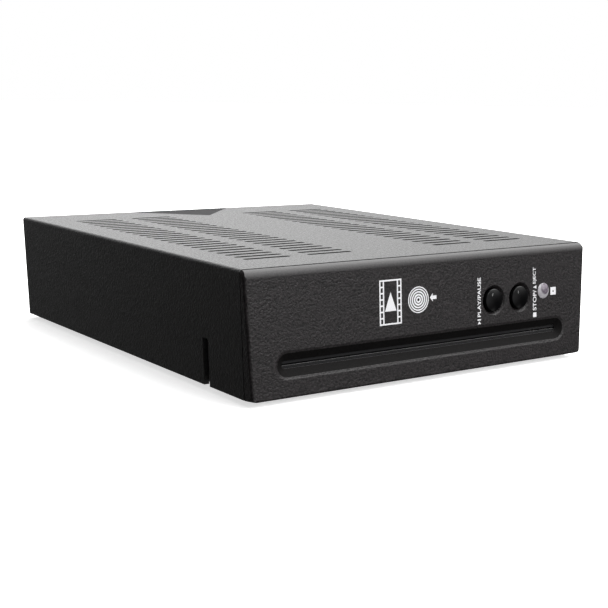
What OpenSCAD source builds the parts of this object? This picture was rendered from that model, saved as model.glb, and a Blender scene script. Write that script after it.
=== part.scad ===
// Compact slot-loading disc player, in millimetres.
// Front towards -Y, up is +Z, origin in the middle of the footprint at the height of the feet.

/* [Case] */
// Width of the casing at the top
case_w = 160; // [156:1:200]
// Depth of the casing, from the foot of the front to the rear edge
case_d = 190; // [186:1:230]
// Height of the casing without the feet
case_h = 44; // [43:0.5:60]
// Wall of the moulded cover
wall = 2; // [1.6:0.1:2.6]
// How far each side leans in at the bottom
side_draft = 2.2; // [0:0.1:3]
// How far the front leans forward at the bottom
front_rake = 3; // [0:0.1:5]
// Width of the shadow gap between bezel and cover
joint_gap = 0.5; // [0.3:0.1:1]
// Height of the feet
foot_h = 2; // [1:0.5:5]
// Radius of the feet
foot_r = 6; // [4:0.5:8]
// Distance of the feet's centres from the edges
foot_inset = 22; // [16:1:26]

/* [Vents] */
// Length of a vent slot
vent_l = 19.5; // [12:0.5:22]
// Width of a vent slot
vent_w = 2.4; // [1.5:0.1:3.5]
// Distance from one slot to the next
vent_pitch = 6; // [5:0.5:7]
// Centre of the inner columns from the middle
vent_inner_x = 29.4; // [26:0.2:32]
// Distance between the inner and the outer column
vent_column_gap = 26.9; // [25:0.1:28]
// First slot behind the top edge of the front
vent_start = 22.3; // [18:0.1:30]
// Plain stretch between the last slot and the rear edge
vent_end = 25; // [22:1:40]

/* [Rear notch] */
// Width of the notch at the rear edge
notch_w = 54.4; // [40:1:64]
// Length of the notch
notch_l = 28.9; // [20:1:36]
// How far the tongue in the notch lies below the top
notch_step = 0.3; // [0.1:0.1:1]

/* [Front] */
// Depth of the bezel at its top edge
bezel_d = 2; // [1.5:0.1:3]
// Thickness of the bezel's face
bezel_t = 2.2; // [1.8:0.1:2.4]
// Radius of the top edge
top_edge_r = 3.3; // [2:0.1:4]
// Radius of the upper corners
corner_r = 3.6; // [2.5:0.1:5]
// Radius of the lower corners
low_corner_r = 2.6; // [1:0.1:4]
// Radius of the upright edges
side_edge_r = 1.2; // [1:0.1:2]
// Radius of the bends along the top of the cover
bend_r = 1.2; // [0.6:0.1:1.6]

/* [Disc slot] */
// Diameter of the disc
disc_d = 120; // [116:0.5:120.5]
// Length of the slot recess
slot_l = 135.5; // [130:0.5:138]
// Height of the slot recess
slot_h = 8.3; // [7.5:0.1:9]
// Height of the slit
slit_h = 2.6; // [2.2:0.1:3]
// Depth at which the recess meets the slit
slot_depth = 1.9; // [1.5:0.1:2.1]
// Height of the slit above the bottom of the casing
slot_z = 11.2; // [11:0.1:12.4]
// Thickness of the felt lips
felt_t = 1; // [0.6:0.1:1.5]
// Open gap between the felt lips
felt_gap = 0.7; // [0.4:0.1:1]

/* [Buttons] */
// First button from the right side
button_side = 49.6; // [46:0.2:52]
// Distance between the buttons
button_pitch = 13.6; // [13:0.1:15]
// Height of the buttons above the bottom of the casing
button_z = 25.1; // [24:0.1:28]
// Radius of the bevelled well
well_r = 5.7; // [5.4:0.1:6.2]
// Depth of the bevelled well
well_depth = 1.1; // [0.8:0.1:1.4]
// Radius of the cap
cap_r = 4.3; // [3.8:0.1:4.6]
// Clearance round the cap
cap_gap = 0.25; // [0.15:0.05:0.4]
// Travel of a button
button_travel = 0.7; // [0.5:0.1:0.8]
// Travel of a switch plunger
plunger_travel = 0.3; // [0.2:0.05:0.4]
// Window from the right side
window_side = 23.2; // [20:0.2:25]
// Radius of the window
window_r = 3; // [2.5:0.1:3.2]

/* [Slot drive] */
// Thickness of the pressed sheet
sheet = 1; // [0.8:0.1:1.2]
// Room between the slot drive and the outside of the case, for gears and screws
drive_room = 15.5; // [15.4:0.1:17]
// Radius of the feed roller at its ends
roller_r = 3.4; // [3:0.1:3.6]
// Waist radius of the feed roller
roller_waist_r = 2.6; // [2.2:0.1:3]
// Radius of the roller's shaft
shaft_r = 1.2; // [1:0.1:1.4]
// How far the traverse rises
lift = 3; // [2.5:0.1:3.2]
// How far the cam slider runs while the traverse rises
cam_travel = 12; // [10:0.5:13]
// How far the pickup runs
sled_travel = 34; // [30:0.5:35]
// Running clearance of pins and shafts
fit = 0.05; // [0.03:0.01:0.08]

/* [Gears] */
// Module of the teeth
gear_m = 0.5; // [0.48:0.01:0.5]
// Face width of the gears
gear_w = 2; // [1.6:0.1:2.2]
// Teeth of the roller gear
roller_teeth = 18; // [17:1:18]
// Teeth of the small gears
small_teeth = 12; // [12:1:13]
// Teeth of the large gears
large_teeth = 36; // [34:1:36]

/* [Boards and sockets] */
// Thickness of the boards
board_t = 1.6; // [1.2:0.2:1.6]
// Radius of the plug collars of the picture and sound sockets
phono_r = 4.15; // [4.1:0.05:4.2]
// Distance between those sockets
phono_pitch = 14; // [12:0.5:15]
// Middle of those sockets from the middle of the case
phono_x = -12; // [-14:1:4]
// Radius of the power socket's barrel
dc_r = 2.8; // [2.6:0.1:3]
// Power socket from the left side
dc_inset = 28; // [24:1:36]
// How far those sockets stand out behind the rear edge
phono_out = 6; // [4:0.5:10]
// Rocker switch from the right side
rocker_inset = 36; // [30:1:46]
// Tilt of the rocker from off to on
rocker_tilt = 16; // [10:1:18]

/* [Hidden] */
$fn = 48;
eps = 0.01;
seat_gap = 0.3;
touch = 0.02;

// Colours
black = "#1b1b1d";
charcoal = "#2a292b";
rubber = "#151515";
steel = "#a9acb0";
zinc = "#c3c6c8";
green = "#1e4a33";
cream = "#d9d4c3";
brass = "#b79a55";

// Levels and planes of the casing
base_z = foot_h;
top_z = foot_h + case_h;
front_y = -(case_d + phono_out) / 2;
rear_y = front_y + case_d;
front_top_y = front_y + front_rake;
part_y = front_top_y + bezel_d;
cover_y = part_y + joint_gap;
rake_angle = atan(front_rake / case_h);
ceiling_z = top_z - wall;
tray_t = 1;
tray_step = 0.6;
tray_top = base_z + tray_step + tray_t;

function side_x(z) = case_w / 2 - side_draft * (top_z - z) / case_h;
function inner_x(z) = side_x(z) - wall;
function face_y(z) = front_y + front_rake * (z - base_z) / case_h;
function unit(v) = v / norm(v);

// Disc path and slot drive
disc_r = disc_d / 2;
disc_z = base_z + slot_z;
path_h = 1.2;
path_low = disc_z - path_h / 2;
roller_setback = 10;
roller_y = part_y + roller_setback;
roller_z = path_low - roller_r;
spin_y = roller_y + roller_r + 4.6 + disc_r;
frame_x = case_w / 2 - drive_room;
frame_y0 = roller_y - 4.6;
frame_y1 = spin_y + disc_r + 16;
frame_z = tray_top + 1;
frame_top = disc_z + 6.2;
plate_top = frame_top + sheet;
well_inset = 20.9;
well_x = frame_x - well_inset;
play_z = path_low + 1;
rest_z = play_z - lift;

// Screws
screw_r = 1.25;
screw_head_r = 2.6;
screw_head_h = 1.4;
boss_r = 3;
boss_hole_l = 14;
small_screw_r = 0.95;
small_head_r = 1.8;
small_head_h = 1.1;
boss_x = inner_x(base_z) - boss_r - 1.4;
boss_y = [part_y + 48, rear_y - 9];

// Boards
board_z = plate_top + 4;
board_top = board_z + board_t;
board_x = inner_x(base_z) - 2.8;
board_y0 = spin_y - 16;
board_y1 = rear_y - 5;
standoff_y = [board_y0 + 6, rear_y - 21];
standoff_inset = 3;
standoff_x = board_x - standoff_inset;

// Buttons: points on the sloping face, and what lies behind it
button_x = case_w / 2 - button_side;
window_x = case_w / 2 - window_side;
button_level = base_z + button_z;
stem_r = 1.8;
stem_l = 1.6;
flange_t = 0.8;
plunger_r = 1.7;
plunger_gap = button_travel - plunger_travel;
cap_proud = 0.2;
cap_l = bezel_t + cap_proud;
stem_end = bezel_t + 0.1 + flange_t + stem_l;
plunger_l = 1;
tact_l = 3.4;
board_slope_y = stem_end + plunger_gap + plunger_l + tact_l;

// Convex outline, points anticlockwise, with a true arc of radius r[i] at each corner
module soft_polygon(p, r) {
    n = len(p);
    before = [for (i = [0:n - 1]) unit(p[(i + n - 1) % n] - p[i])];
    after = [for (i = [0:n - 1]) unit(p[(i + 1) % n] - p[i])];
    half = [for (i = [0:n - 1]) acos(before[i] * after[i]) / 2];
    polygon([for (i = [0:n - 1]) each r[i] > 0
        ? [p[i] + before[i] * r[i] / tan(half[i]), p[i] + after[i] * r[i] / tan(half[i])]
        : [p[i]]]);
    for (i = [0:n - 1])
        if (r[i] > 0)
            translate(p[i] + unit(before[i] + after[i]) * r[i] / sin(half[i]))
                circle(r[i]);
}

// Slot with round ends, long way along X
module stadium(l, w) {
    square([l - w, w], center = true);
    for (side = [-1, 1])
        translate([side * (l - w) / 2, 0])
            circle(w / 2);
}

// Rectangle from a low corner to a high corner, and a box likewise
module span2(a, b) {
    translate(a)
        square(b - a);
}

module span(a, b) {
    translate(a)
        cube(b - a);
}

// Both sides of the middle plane
module both_sides() {
    children();
    mirror([1, 0, 0])
        children();
}

// An XZ outline run from y0 to y1, and a YZ outline run from x0 to x1
module along_y(y0, y1) {
    translate([0, y1, 0])
        rotate([90, 0, 0])
            linear_extrude(y1 - y0)
                children();
}

module along_x(x0, x1) {
    translate([x0, 0, 0])
        rotate([90, 0, 90])
            linear_extrude(x1 - x0)
                children();
}

module rod_x(x0, x1, r) {
    translate([x0, 0, 0])
        rotate([0, 90, 0])
            cylinder(r = r, h = x1 - x0);
}

module rod_y(y0, y1, r) {
    translate([0, y0, 0])
        rotate([-90, 0, 0])
            cylinder(r = r, h = y1 - y0);
}

// Puts a shape on the sloping front face: local Z runs straight into the case
module on_face(x, z) {
    translate([x, face_y(z), z])
        rotate([-90 - rake_angle, 0, 0])
            children();
}

// Section of the casing, shrunk by inset on the sides and the top
module case_section(inset, low, r) {
    top = top_z - inset;
    soft_polygon([[-side_x(low) + inset, low], [side_x(low) - inset, low],
        [side_x(top) - inset, top], [-side_x(top) + inset, top]], [0, 0, r, r]);
}

// ---------------------------------------------------------------- casing

vent_count = floor((case_d - front_rake - vent_start - vent_end) / vent_pitch) + 1;
groove_w = 3.8;
groove_h = 17;
groove_back = 26.6;
groove_y = front_top_y + groove_back;
catch_l = 10;
catch_h = 1;

module vents() {
    for (x = [vent_inner_x, vent_inner_x + vent_column_gap])
        for (i = [0:vent_count - 1])
            translate([x, front_top_y + vent_start + i * vent_pitch])
                stadium(vent_l, vent_w);
}

module notch_outline(grow) {
    polygon([[-notch_w / 2 - grow, rear_y + eps], [0, rear_y - notch_l - grow * 1.4],
        [notch_w / 2 + grow, rear_y + eps]]);
}

module bosses(z0) {
    for (x = [-boss_x, boss_x])
        for (y = boss_y)
            translate([x, y, z0])
                cylinder(r = boss_r, h = ceiling_z + eps - z0);
}

module boss_holes(z0, r, h) {
    for (x = [-boss_x, boss_x])
        for (y = boss_y)
            translate([x, y, z0])
                cylinder(r = r, h = h);
}

panel_t = 2;
panel_y = rear_y - panel_t;
panel_screw_x = boss_x - 9;
panel_screw_z = ceiling_z - 5;

module panel_bosses() {
    both_sides()
        translate([panel_screw_x, 0, panel_screw_z]) {
            rod_y(panel_y - 12, panel_y - 0.2, boss_r);
            span([-0.8, panel_y - 12, 0], [0.8, panel_y - 0.2, ceiling_z - panel_screw_z + eps]);
        }
}

module top_cover() {
    color(charcoal)
    difference() {
        union() {
            difference() {
                along_y(cover_y, rear_y)
                    case_section(0, base_z, bend_r);
                along_y(cover_y - 1, rear_y + 1)
                    case_section(wall, base_z - eps, 0.4);
            }
            bosses(tray_top + seat_gap);
            panel_bosses();
        }
        boss_holes(tray_top, screw_r + fit, boss_hole_l);
        both_sides()
            translate([panel_screw_x, 0, panel_screw_z])
                rod_y(panel_y - 8, rear_y, screw_r + fit);
        both_sides()
            translate([0, 0, ceiling_z - 1])
                linear_extrude(wall + 2)
                    vents();
        translate([0, 0, ceiling_z - 1])
            linear_extrude(wall + 2)
                notch_outline(0);
        both_sides()
            span([inner_x(base_z) - 1, groove_y - groove_w / 2, base_z - 1],
                [case_w / 2 + 1, groove_y + groove_w / 2, base_z + groove_h]);
        // pockets for the catches of the bezel
        for (x = [-case_w / 4, case_w / 4])
            span([x - catch_l / 2 - seat_gap, cover_y + 2.7, ceiling_z - 1],
                [x + catch_l / 2 + seat_gap, cover_y + 5.3, ceiling_z + catch_h]);
    }
}

// Removes an upright front edge down to a round one; the edge leans with both faces
module edge_cutter(r) {
    translate([case_w / 2 - side_draft, front_y, base_z])
        rotate([0, atan(side_draft / case_h), 0])
            rotate([-rake_angle, 0, 0])
                translate([0, 0, -3])
                    linear_extrude(case_h + 8)
                        difference() {
                            span2([-r, -1], [1, r]);
                            translate([-r, r])
                                circle(r);
                        }
}

// Rounds a front corner off; the cut runs out towards a bend of the given radius at the cover
module corner_cutter(z, turn, r, bend) {
    lean = atan((sqrt(2) - 1) * (r - bend) / (part_y - face_y(z)));
    translate([side_x(z), face_y(z), z])
        rotate([0, turn, 0])
            rotate([0, 0, -lean])
                along_y(-3, part_y - face_y(z) + 1)
                    difference() {
                        span2([-r / sqrt(2), -r], [3, r]);
                        translate([-r * sqrt(2), 0])
                            circle(r);
                    }
}

module bezel_outer() {
    intersection() {
        along_y(front_y - 1, part_y)
            soft_polygon([[-side_x(base_z), base_z], [side_x(base_z), base_z],
                [side_x(top_z), top_z], [-side_x(top_z), top_z]],
                [0, 0, bend_r, bend_r]);
        along_x(-case_w, case_w)
            soft_polygon([[front_y, base_z], [part_y + 20, base_z],
                [part_y + 20, top_z], [front_top_y, top_z]], [0.8, 0, 0, top_edge_r]);
    }
}

// Tongue of the bezel that slides into the cover
lip_gap = 0.25;
lip_t = 1.5;
lip_l = 6.5;

module bezel_lip() {
    difference() {
        along_y(part_y - 1, cover_y + lip_l)
            difference() {
                case_section(wall + lip_gap, base_z, 0.4);
                case_section(wall + lip_gap + lip_t, base_z - eps, 0.3);
            }
        // clear of the floor of the tray
        span([-case_w, part_y + 0.2, base_z - 1], [case_w, rear_y, base_z + 14]);
    }
}

lip_round = 1.1;

// Profile of the slot recess from its middle line: the slanted face, then a rounded lip
module recess_profile() {
    half = slit_h / 2;
    mouth = slot_h / 2;
    difference() {
        polygon([[0, -2], [mouth + 1, -2], [mouth + 1, 0], [mouth, lip_round * 0.25],
            [half, slot_depth], [half, 8], [0, 8]]);
        translate([mouth + 1, lip_round])
            circle(lip_round);
    }
}

module slot_cutter() {
    reach = (slot_l - slot_h) / 2;
    on_face(0, disc_z) {
        rotate([90, 0, 90])
            translate([0, 0, -reach])
                linear_extrude(2 * reach) {
                    recess_profile();
                    mirror([1, 0])
                        recess_profile();
                }
        for (side = [-1, 1])
            translate([side * reach, 0, 0])
                rotate_extrude()
                    recess_profile();
    }
}

module button_wells() {
    for (i = [0, 1])
        on_face(button_x + i * button_pitch, button_level) {
            translate([0, 0, -1])
                cylinder(r = cap_r + cap_gap, h = 8);
            cylinder(r1 = well_r, r2 = cap_r + cap_gap, h = well_depth);
            translate([0, 0, -1])
                cylinder(r = well_r, h = 1 + eps);
        }
}

window_level = base_z + button_z + 1.5;
dome_h = 0.8;
dome_r = (window_r * window_r + dome_h * dome_h) / 2 / dome_h;
post_x = [button_x - 7, button_x + button_pitch + 6.6];
post_drop = -4;
post_r = 2;

module front_bezel() {
    color(charcoal)
    difference() {
        union() {
            difference() {
                bezel_outer();
                // hollow behind the face
                translate([0, 0, 0])
                    intersection() {
                        along_y(front_y, part_y + eps)
                            case_section(wall + lip_gap + lip_t, base_z + 1.4, 1);
                        along_x(-case_w, case_w)
                            polygon([[face_y(base_z) + bezel_t / cos(rake_angle), base_z],
                                [part_y + 5, base_z], [part_y + 5, top_z],
                                [face_y(top_z) + bezel_t / cos(rake_angle), top_z]]);
                    }
            }
            bezel_lip();
            // posts for the front board
            for (x = post_x)
                on_face(x, button_level)
                    translate([0, post_drop, bezel_t - 0.1])
                        cylinder(r = post_r, h = board_slope_y - bezel_t + 0.1 - touch);
            for (x = [-case_w / 4, case_w / 4])
                translate([x - catch_l / 2, cover_y + 3, ceiling_z - lip_gap - eps])
                    rotate([90, 0, 90])
                        linear_extrude(catch_l)
                            polygon([[0, 0], [2, 0], [0, catch_h]]);
            // floor strip that carries the bezel on the tray
            span([-frame_x, part_y - 1.6, base_z], [frame_x, part_y + 3.7, base_z + 1.4]);
        }
        both_sides() {
            edge_cutter(side_edge_r);
            corner_cutter(base_z, 45, low_corner_r, 0);
            corner_cutter(top_z, -45, corner_r, bend_r);
        }
        slot_cutter();
        button_wells();
        for (x = post_x)
            on_face(x, button_level)
                translate([0, post_drop, bezel_t + 1])
                    cylinder(r = small_screw_r + fit, h = board_slope_y);
        on_face(window_x, window_level)
            translate([0, 0, -1])
                cylinder(r = window_r + 0.1, h = 8);
    }
}

felt_h = 2.4;

// A felt strip glued to the back of the face, from so far below the middle of the slit
module felt(drop) {
    color("#101011")
    on_face(0, disc_z)
        translate([-slot_l / 2, drop, bezel_t + touch])
            cube([slot_l, felt_h, felt_t]);
}

module upper_felt() {
    felt(-felt_gap / 2 - felt_h);
}

module lower_felt() {
    felt(felt_gap / 2);
}

module ir_window() {
    color("#b9b2bd")
    on_face(window_x, window_level) {
        cylinder(r = window_r, h = bezel_t + 0.1);
        translate([0, 0, bezel_t + 0.1])
            cylinder(r = window_r + 0.9, h = 0.7);
        intersection() {
            translate([0, 0, dome_r - dome_h])
                sphere(dome_r);
            translate([0, 0, -2])
                cylinder(r = window_r + 1, h = 2 + eps);
        }
    }
}

// Bent tray: floor, low flanges, and one tall tongue each side that snaps into the cover
tongue_w = 12;
flange_gap = 0.4;
flange_h = 6;

module base_tray() {
    x = inner_x(base_z) - flange_gap;
    y0 = part_y + 4;
    y1 = panel_y - 0.3;
    bump_z = base_z + groove_h - 1.9;
    color(steel)
    difference() {
        union() {
            span([-x, y0, tray_top - tray_t], [x, y1, tray_top]);
            both_sides() {
                span([x - tray_t, y0, tray_top - eps], [x, y1, tray_top + flange_h]);
                span([x - tray_t, groove_y - tongue_w / 2, tray_top - eps],
                    [x, groove_y + tongue_w / 2, base_z + groove_h + 3]);
                translate([x - 0.6, groove_y, bump_z])
                    rod_x(0, flange_gap + 1.4, 1.5);
            }
            span([-x, y1 - tray_t, tray_top - eps], [x, y1, tray_top + flange_h]);
        }
        boss_holes(0, screw_r + 0.3, 10);
        both_sides()
            translate([panel_screw_x, 0, tray_top + flange_h / 2])
                rod_y(y1 - 5, y1 + 5, screw_r + fit);
        for (x = [-1, 1])
            for (y = [-1, 1])
                translate([x * damper_x, damper_mid + y * damper_reach, 0])
                    cylinder(r = small_screw_r + fit, h = 10);
        // long cooling slots in the floor
        for (i = [-3:3])
            translate([i * 12, rear_y - 22, 0])
                rotate(90)
                    linear_extrude(10)
                        stadium(16, 3);
    }
}

notch_flange_t = 1.6;
panel_gap = 0.2;
flange_z = ceiling_z - panel_gap - notch_flange_t;
jack_z = (board_top + flange_z) / 2;
jack_half_h = 5;
jack_l = 12;
dc_x = -(case_w / 2 - dc_inset);
dc_z = jack_z - 1.4;
dc_half_w = 4.6;
rocker_x = case_w / 2 - rocker_inset;
rocker_z = board_top - 0.6;
rocker_w = 12;
rocker_h = 8;
rocker_l = 12;
rocker_rim = 1.4;

module rear_panel() {
    inner = wall + panel_gap;
    color(black)
    difference() {
        union() {
            along_y(panel_y, rear_y)
                case_section(inner, base_z, 0.4);
            // tongue that fills the notch, and the flange under it
            translate([0, 0, flange_z])
                linear_extrude(notch_flange_t)
                    intersection() {
                        notch_outline(3);
                        span2([-case_w, rear_y - 60], [case_w, rear_y]);
                    }
            translate([0, 0, ceiling_z - panel_gap - eps])
                linear_extrude(wall + panel_gap - notch_step)
                    intersection() {
                        notch_outline(-0.25);
                        span2([-case_w, rear_y - 60], [case_w, rear_y]);
                    }
        }
        for (i = [-1:1])
            translate([phono_x + i * phono_pitch, 0, jack_z])
                rod_y(panel_y - 5, rear_y + 1, phono_r + 0.6);
        translate([dc_x, 0, dc_z])
            rod_y(panel_y - 5, rear_y + 1, dc_r + 1);
        span([rocker_x - rocker_w / 2, panel_y - 5, rocker_z - rocker_h / 2],
            [rocker_x + rocker_w / 2, rear_y + 1, rocker_z + rocker_h / 2]);
        both_sides() {
            translate([panel_screw_x, 0, panel_screw_z])
                rod_y(panel_y - 1, rear_y + 1, screw_r + 0.3);
            translate([panel_screw_x, 0, tray_top + flange_h / 2])
                rod_y(panel_y - 1, rear_y + 1, screw_r + 0.3);
        }
        // cooling slots low on the panel
        for (i = [-6:6])
            translate([i * 6, 0, tray_top + 10])
                along_y(panel_y - 1, rear_y + 1)
                    rotate(90)
                        stadium(8, 2);
    }
}

module rubber_feet() {
    color(rubber)
    for (side = [-1, 1])
        for (y = [front_y + foot_inset + front_rake, rear_y - foot_inset])
            translate([side * (side_x(base_z) - foot_inset), y, 0])
                rotate_extrude()
                    polygon([[0, 0], [foot_r - 0.6, 0], [foot_r, 0.6],
                        [foot_r, tray_top - tray_t], [0, tray_top - tray_t]]);
}

// A pan-head screw, head down at z = 0, shank up
module screw(r, l, head_r, head_h) {
    rotate_extrude()
        polygon([[0.5, 0], [head_r - 0.5, 0], [head_r, 0.5], [head_r, head_h], [r, head_h],
            [r, l - 0.5], [r - 0.5, l], [0, l], [0, 0.5], [0.5, 0.5]]);
}

module case_screws() {
    color(zinc) {
        for (x = [-boss_x, boss_x])
            for (y = boss_y)
                translate([x, y, tray_top - tray_t - screw_head_h])
                    screw(screw_r, 9, screw_head_r, screw_head_h);
        for (side = [-1, 1])
            for (z = [panel_screw_z, tray_top + flange_h / 2])
                translate([side * panel_screw_x, rear_y + screw_head_h, z])
                    rotate([90, 0, 0])
                        screw(screw_r, 7.5, screw_head_r, screw_head_h);
    }
}

// ---------------------------------------------------------------- boards

front_board_x = [button_x - 9, window_x + 6.5];

// Places a shape behind the sloping face, on the front board's own plane
module front_plane() {
    on_face(0, button_level)
        translate([0, 0, board_slope_y])
            children();
}

module front_board() {
    color(green)
    front_plane()
        difference() {
            linear_extrude(board_t)
                span2([front_board_x[0], -6.5], [front_board_x[1], 6]);
            for (x = post_x)
                translate([x, post_drop, -1])
                    cylinder(r = small_screw_r + 0.2, h = 5);
        }
}

module tact_switches() {
    color("#26262a")
    front_plane()
        for (i = [0, 1])
            translate([button_x + i * button_pitch, 0, -tact_l])
                difference() {
                    translate([-3, -3, 0])
                        cube([6, 6, tact_l - 0.02]);
                    translate([0, 0, -1])
                        cylinder(r = plunger_r + 0.1, h = 2.2);
                }
}

module plunger(i) {
    color("#c9c5bd")
    front_plane()
        translate([button_x + i * button_pitch, 0, -tact_l - plunger_l])
            cylinder(r = plunger_r, h = plunger_l + 1.1 - plunger_travel);
}

module play_plunger() {
    plunger(0);
}

module stop_plunger() {
    plunger(1);
}

// Domed cap with a shallow dish, a flange behind the face and a stem
module button(i) {
    color(black)
    on_face(button_x + i * button_pitch, button_level) {
        difference() {
            translate([0, 0, -cap_proud])
                rotate_extrude()
                    polygon([[0, 0], [cap_r - 0.6, 0], [cap_r - 0.2, 0.2], [cap_r, 0.6],
                        [cap_r, cap_l + 0.1], [0, cap_l + 0.1]]);
            translate([0, 0, -cap_proud - 9.4])
                sphere(10, $fn = 64);
        }
        translate([0, 0, bezel_t + 0.1])
            cylinder(r = cap_r + cap_gap + 0.8, h = flange_t);
        translate([0, 0, bezel_t + 0.1 + flange_t - eps])
            cylinder(r = stem_r, h = stem_l + eps);
    }
}

module play_button() {
    button(0);
}

module stop_button() {
    button(1);
}

module ir_receiver() {
    color("#2b2430")
    front_plane()
        translate([window_x, button_level - window_level, 0]) {
            translate([-2.6, -4.4, -3.2])
                cube([5.2, 4.4, 3.18]);
            translate([0, -2.2, -4.4])
                cylinder(r = 1.7, h = 1.3);
        }
}

module status_led() {
    color("#cfd6e6")
    front_plane()
        translate([window_x, button_level - window_level + 1.9, -3.6]) {
            cylinder(r = 1.5, h = 3.58);
            sphere(1.5);
        }
}

rocker_cut = 3;
board_corner = boss_r + 1.5;

module main_board() {
    color(green)
    difference() {
        translate([0, 0, board_z])
            linear_extrude(board_t)
                polygon([[-board_x, board_y0], [board_x, board_y0],
                    [board_x, boss_y[1] - board_corner], [boss_x - board_corner, boss_y[1] - board_corner],
                    [boss_x - board_corner, board_y1], [-boss_x + board_corner, board_y1],
                    [-boss_x + board_corner, boss_y[1] - board_corner],
                    [-board_x, boss_y[1] - board_corner]]);
        both_sides()
            for (y = standoff_y)
                translate([standoff_x, y, board_z - 1])
                    cylinder(r = small_screw_r + 0.2, h = 5);
        span([rocker_x - rocker_w / 2 - rocker_cut, panel_y - rocker_l - rocker_cut, board_z - 1],
            [rocker_x + rocker_w / 2 + rocker_cut, panel_y, board_top + 1]);
    }
}

module board_standoffs() {
    color(brass)
    both_sides()
        for (y = standoff_y)
            translate([standoff_x, y, tray_top])
                difference() {
                    cylinder(r = 2.5, h = board_z - tray_top, $fn = 6);
                    translate([0, 0, board_z - tray_top - 6])
                        cylinder(r = small_screw_r + fit, h = 7);
                }
}

module small_screws() {
    color(zinc) {
        both_sides()
            for (y = standoff_y)
                translate([standoff_x, y, board_top + small_head_h])
                    mirror([0, 0, 1])
                        screw(small_screw_r, 6, small_head_r, small_head_h);
        both_sides()
            for (y = lug_y)
                translate([lug_x, y, plate_top + small_head_h])
                    mirror([0, 0, 1])
                        screw(small_screw_r, 4, small_head_r, small_head_h);
        front_plane()
            for (x = post_x)
                translate([x, post_drop, board_t + small_head_h])
                    mirror([0, 0, 1])
                        screw(small_screw_r, 5, small_head_r, small_head_h);
    }
}

ribbon_w = 14;
ribbon_x = button_x - 1;
ribbon_t = 0.3;
ribbon_socket_d = 4;
ribbon_socket_h = 3.4;
ribbon_y = board_y0 + 5;
board_d = board_y1 - board_y0;
parts_h = ceiling_z - board_top;

// Packages on the board as shares of its size: middle, width, depth, and height in board thicknesses
packages = [[-0.08, 0.42, 0.15, 0.186, 0.94], [-0.465, 0.39, 0.082, 0.17, 0.75],
    [-0.465, 0.61, 0.07, 0.068, 1], [0.275, 0.645, 0.062, 0.076, 0.875],
    [0.71, 0.305, 0.096, 0.136, 5], [-0.685, 0.203, 0.11, 0.05, 3.75]];

module board_components() {
    color("#202022") {
        for (p = packages)
            translate([(p[0] - p[2]) * board_x, board_y0 + (p[1] - p[3] / 2) * board_d, board_top])
                cube([2 * p[2] * board_x, p[3] * board_d, p[4] * board_t]);
        translate([ribbon_x - ribbon_w / 2 - 2.5, ribbon_y - ribbon_socket_d / 2, board_top])
            cube([ribbon_w + 5, ribbon_socket_d, ribbon_socket_h]);
    }
}

// Capacitors by shares: middle, radius as a share of the half width, height of the free room
cans = [[-0.767, 0.475, 0.068, 0.66], [-0.767, 0.585, 0.055, 0.55],
    [0.548, 0.508, 0.055, 0.55], [0.712, 0.508, 0.055, 0.55]];
can_groove = 0.4;

module capacitors() {
    color("#23304a")
    for (p = cans)
        translate([p[0] * board_x, board_y0 + p[1] * board_d, board_top])
            rotate_extrude() {
                r = p[2] * board_x;
                h = p[3] * parts_h;
                polygon([[0, 0], [r - can_groove, 0], [r, can_groove], [r, 3 * can_groove],
                    [r - can_groove, 4 * can_groove], [r, 5 * can_groove], [r, h - can_groove],
                    [r - can_groove, h], [0, h]]);
            }
}

fins = 7;
fin_t = 1.2;
heatsink_w = 20;
heatsink_h = 10;
heatsink_base = 2;

module heatsink() {
    step = (heatsink_w - fin_t) / (fins - 1);
    color(zinc)
    translate([0.3 * board_x - heatsink_w / 2, board_y0 + 0.3 * board_d, board_top]) {
        cube([heatsink_w, heatsink_w, heatsink_base]);
        for (i = [0:fins - 1])
            translate([i * step, 0, heatsink_base - eps])
                cube([fin_t, heatsink_w, heatsink_h - heatsink_base]);
    }
}

// Flat cable from the front board back to its socket on the main board
module front_ribbon() {
    y0 = face_y(button_level) + (board_slope_y + board_t) / cos(rake_angle) + 0.15;
    z0 = button_level;
    y1 = ribbon_y - ribbon_socket_d / 2 - 0.05;
    z1 = board_top + board_t;
    plug = 3;
    color("#d7d7d2")
    along_x(ribbon_x - ribbon_w / 2, ribbon_x + ribbon_w / 2)
        polygon([[y0, z0 - 1], [y0 + plug, z0 - 1], [y0 + plug, z0], [y0 + 2 * plug, z0],
            [y0 + 4 * plug, z1], [y1, z1], [y1, z1 + ribbon_t], [y0 + 4 * plug, z1 + ribbon_t],
            [y0 + 2 * plug, z0 + ribbon_t], [y0 + plug, z0 + ribbon_t], [y0 + plug, z0 + 1],
            [y0, z0 + 1]]);
}

dc_neck = 0.8;
dc_bore_l = 9;
dc_pin_r = 1;

module dc_jack() {
    color(black)
    translate([dc_x, 0, 0])
        difference() {
            union() {
                span([-dc_half_w, panel_y - jack_l - 1, board_top],
                    [dc_half_w, panel_y - panel_gap, dc_z + jack_half_h]);
                translate([0, 0, dc_z])
                    rod_y(panel_y - 1, rear_y - panel_gap, dc_r + dc_neck);
            }
            translate([0, 0, dc_z])
                difference() {
                    rod_y(rear_y - dc_bore_l, rear_y + 1, dc_r);
                    rod_y(rear_y - dc_bore_l - 1, rear_y - 1, dc_pin_r);
                }
        }
}

phono_tail = 3;

module av_jack_block() {
    half = phono_pitch + jack_half_h + eps;
    color(black)
    difference() {
        span([phono_x - half, panel_y - jack_l, board_top],
            [phono_x + half, panel_y - panel_gap, jack_z + jack_half_h]);
        for (i = [-1:1])
            translate([phono_x + i * phono_pitch, 0, jack_z])
                rod_y(panel_y - phono_tail, rear_y, phono_neck_r + touch);
    }
}

// Plug collar of a picture or sound socket: a hollow pin with its contact hole
phono_bore_r = 1.7;
phono_neck_r = phono_r - 0.25;
phono_bore_l = 7.5;

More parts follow.
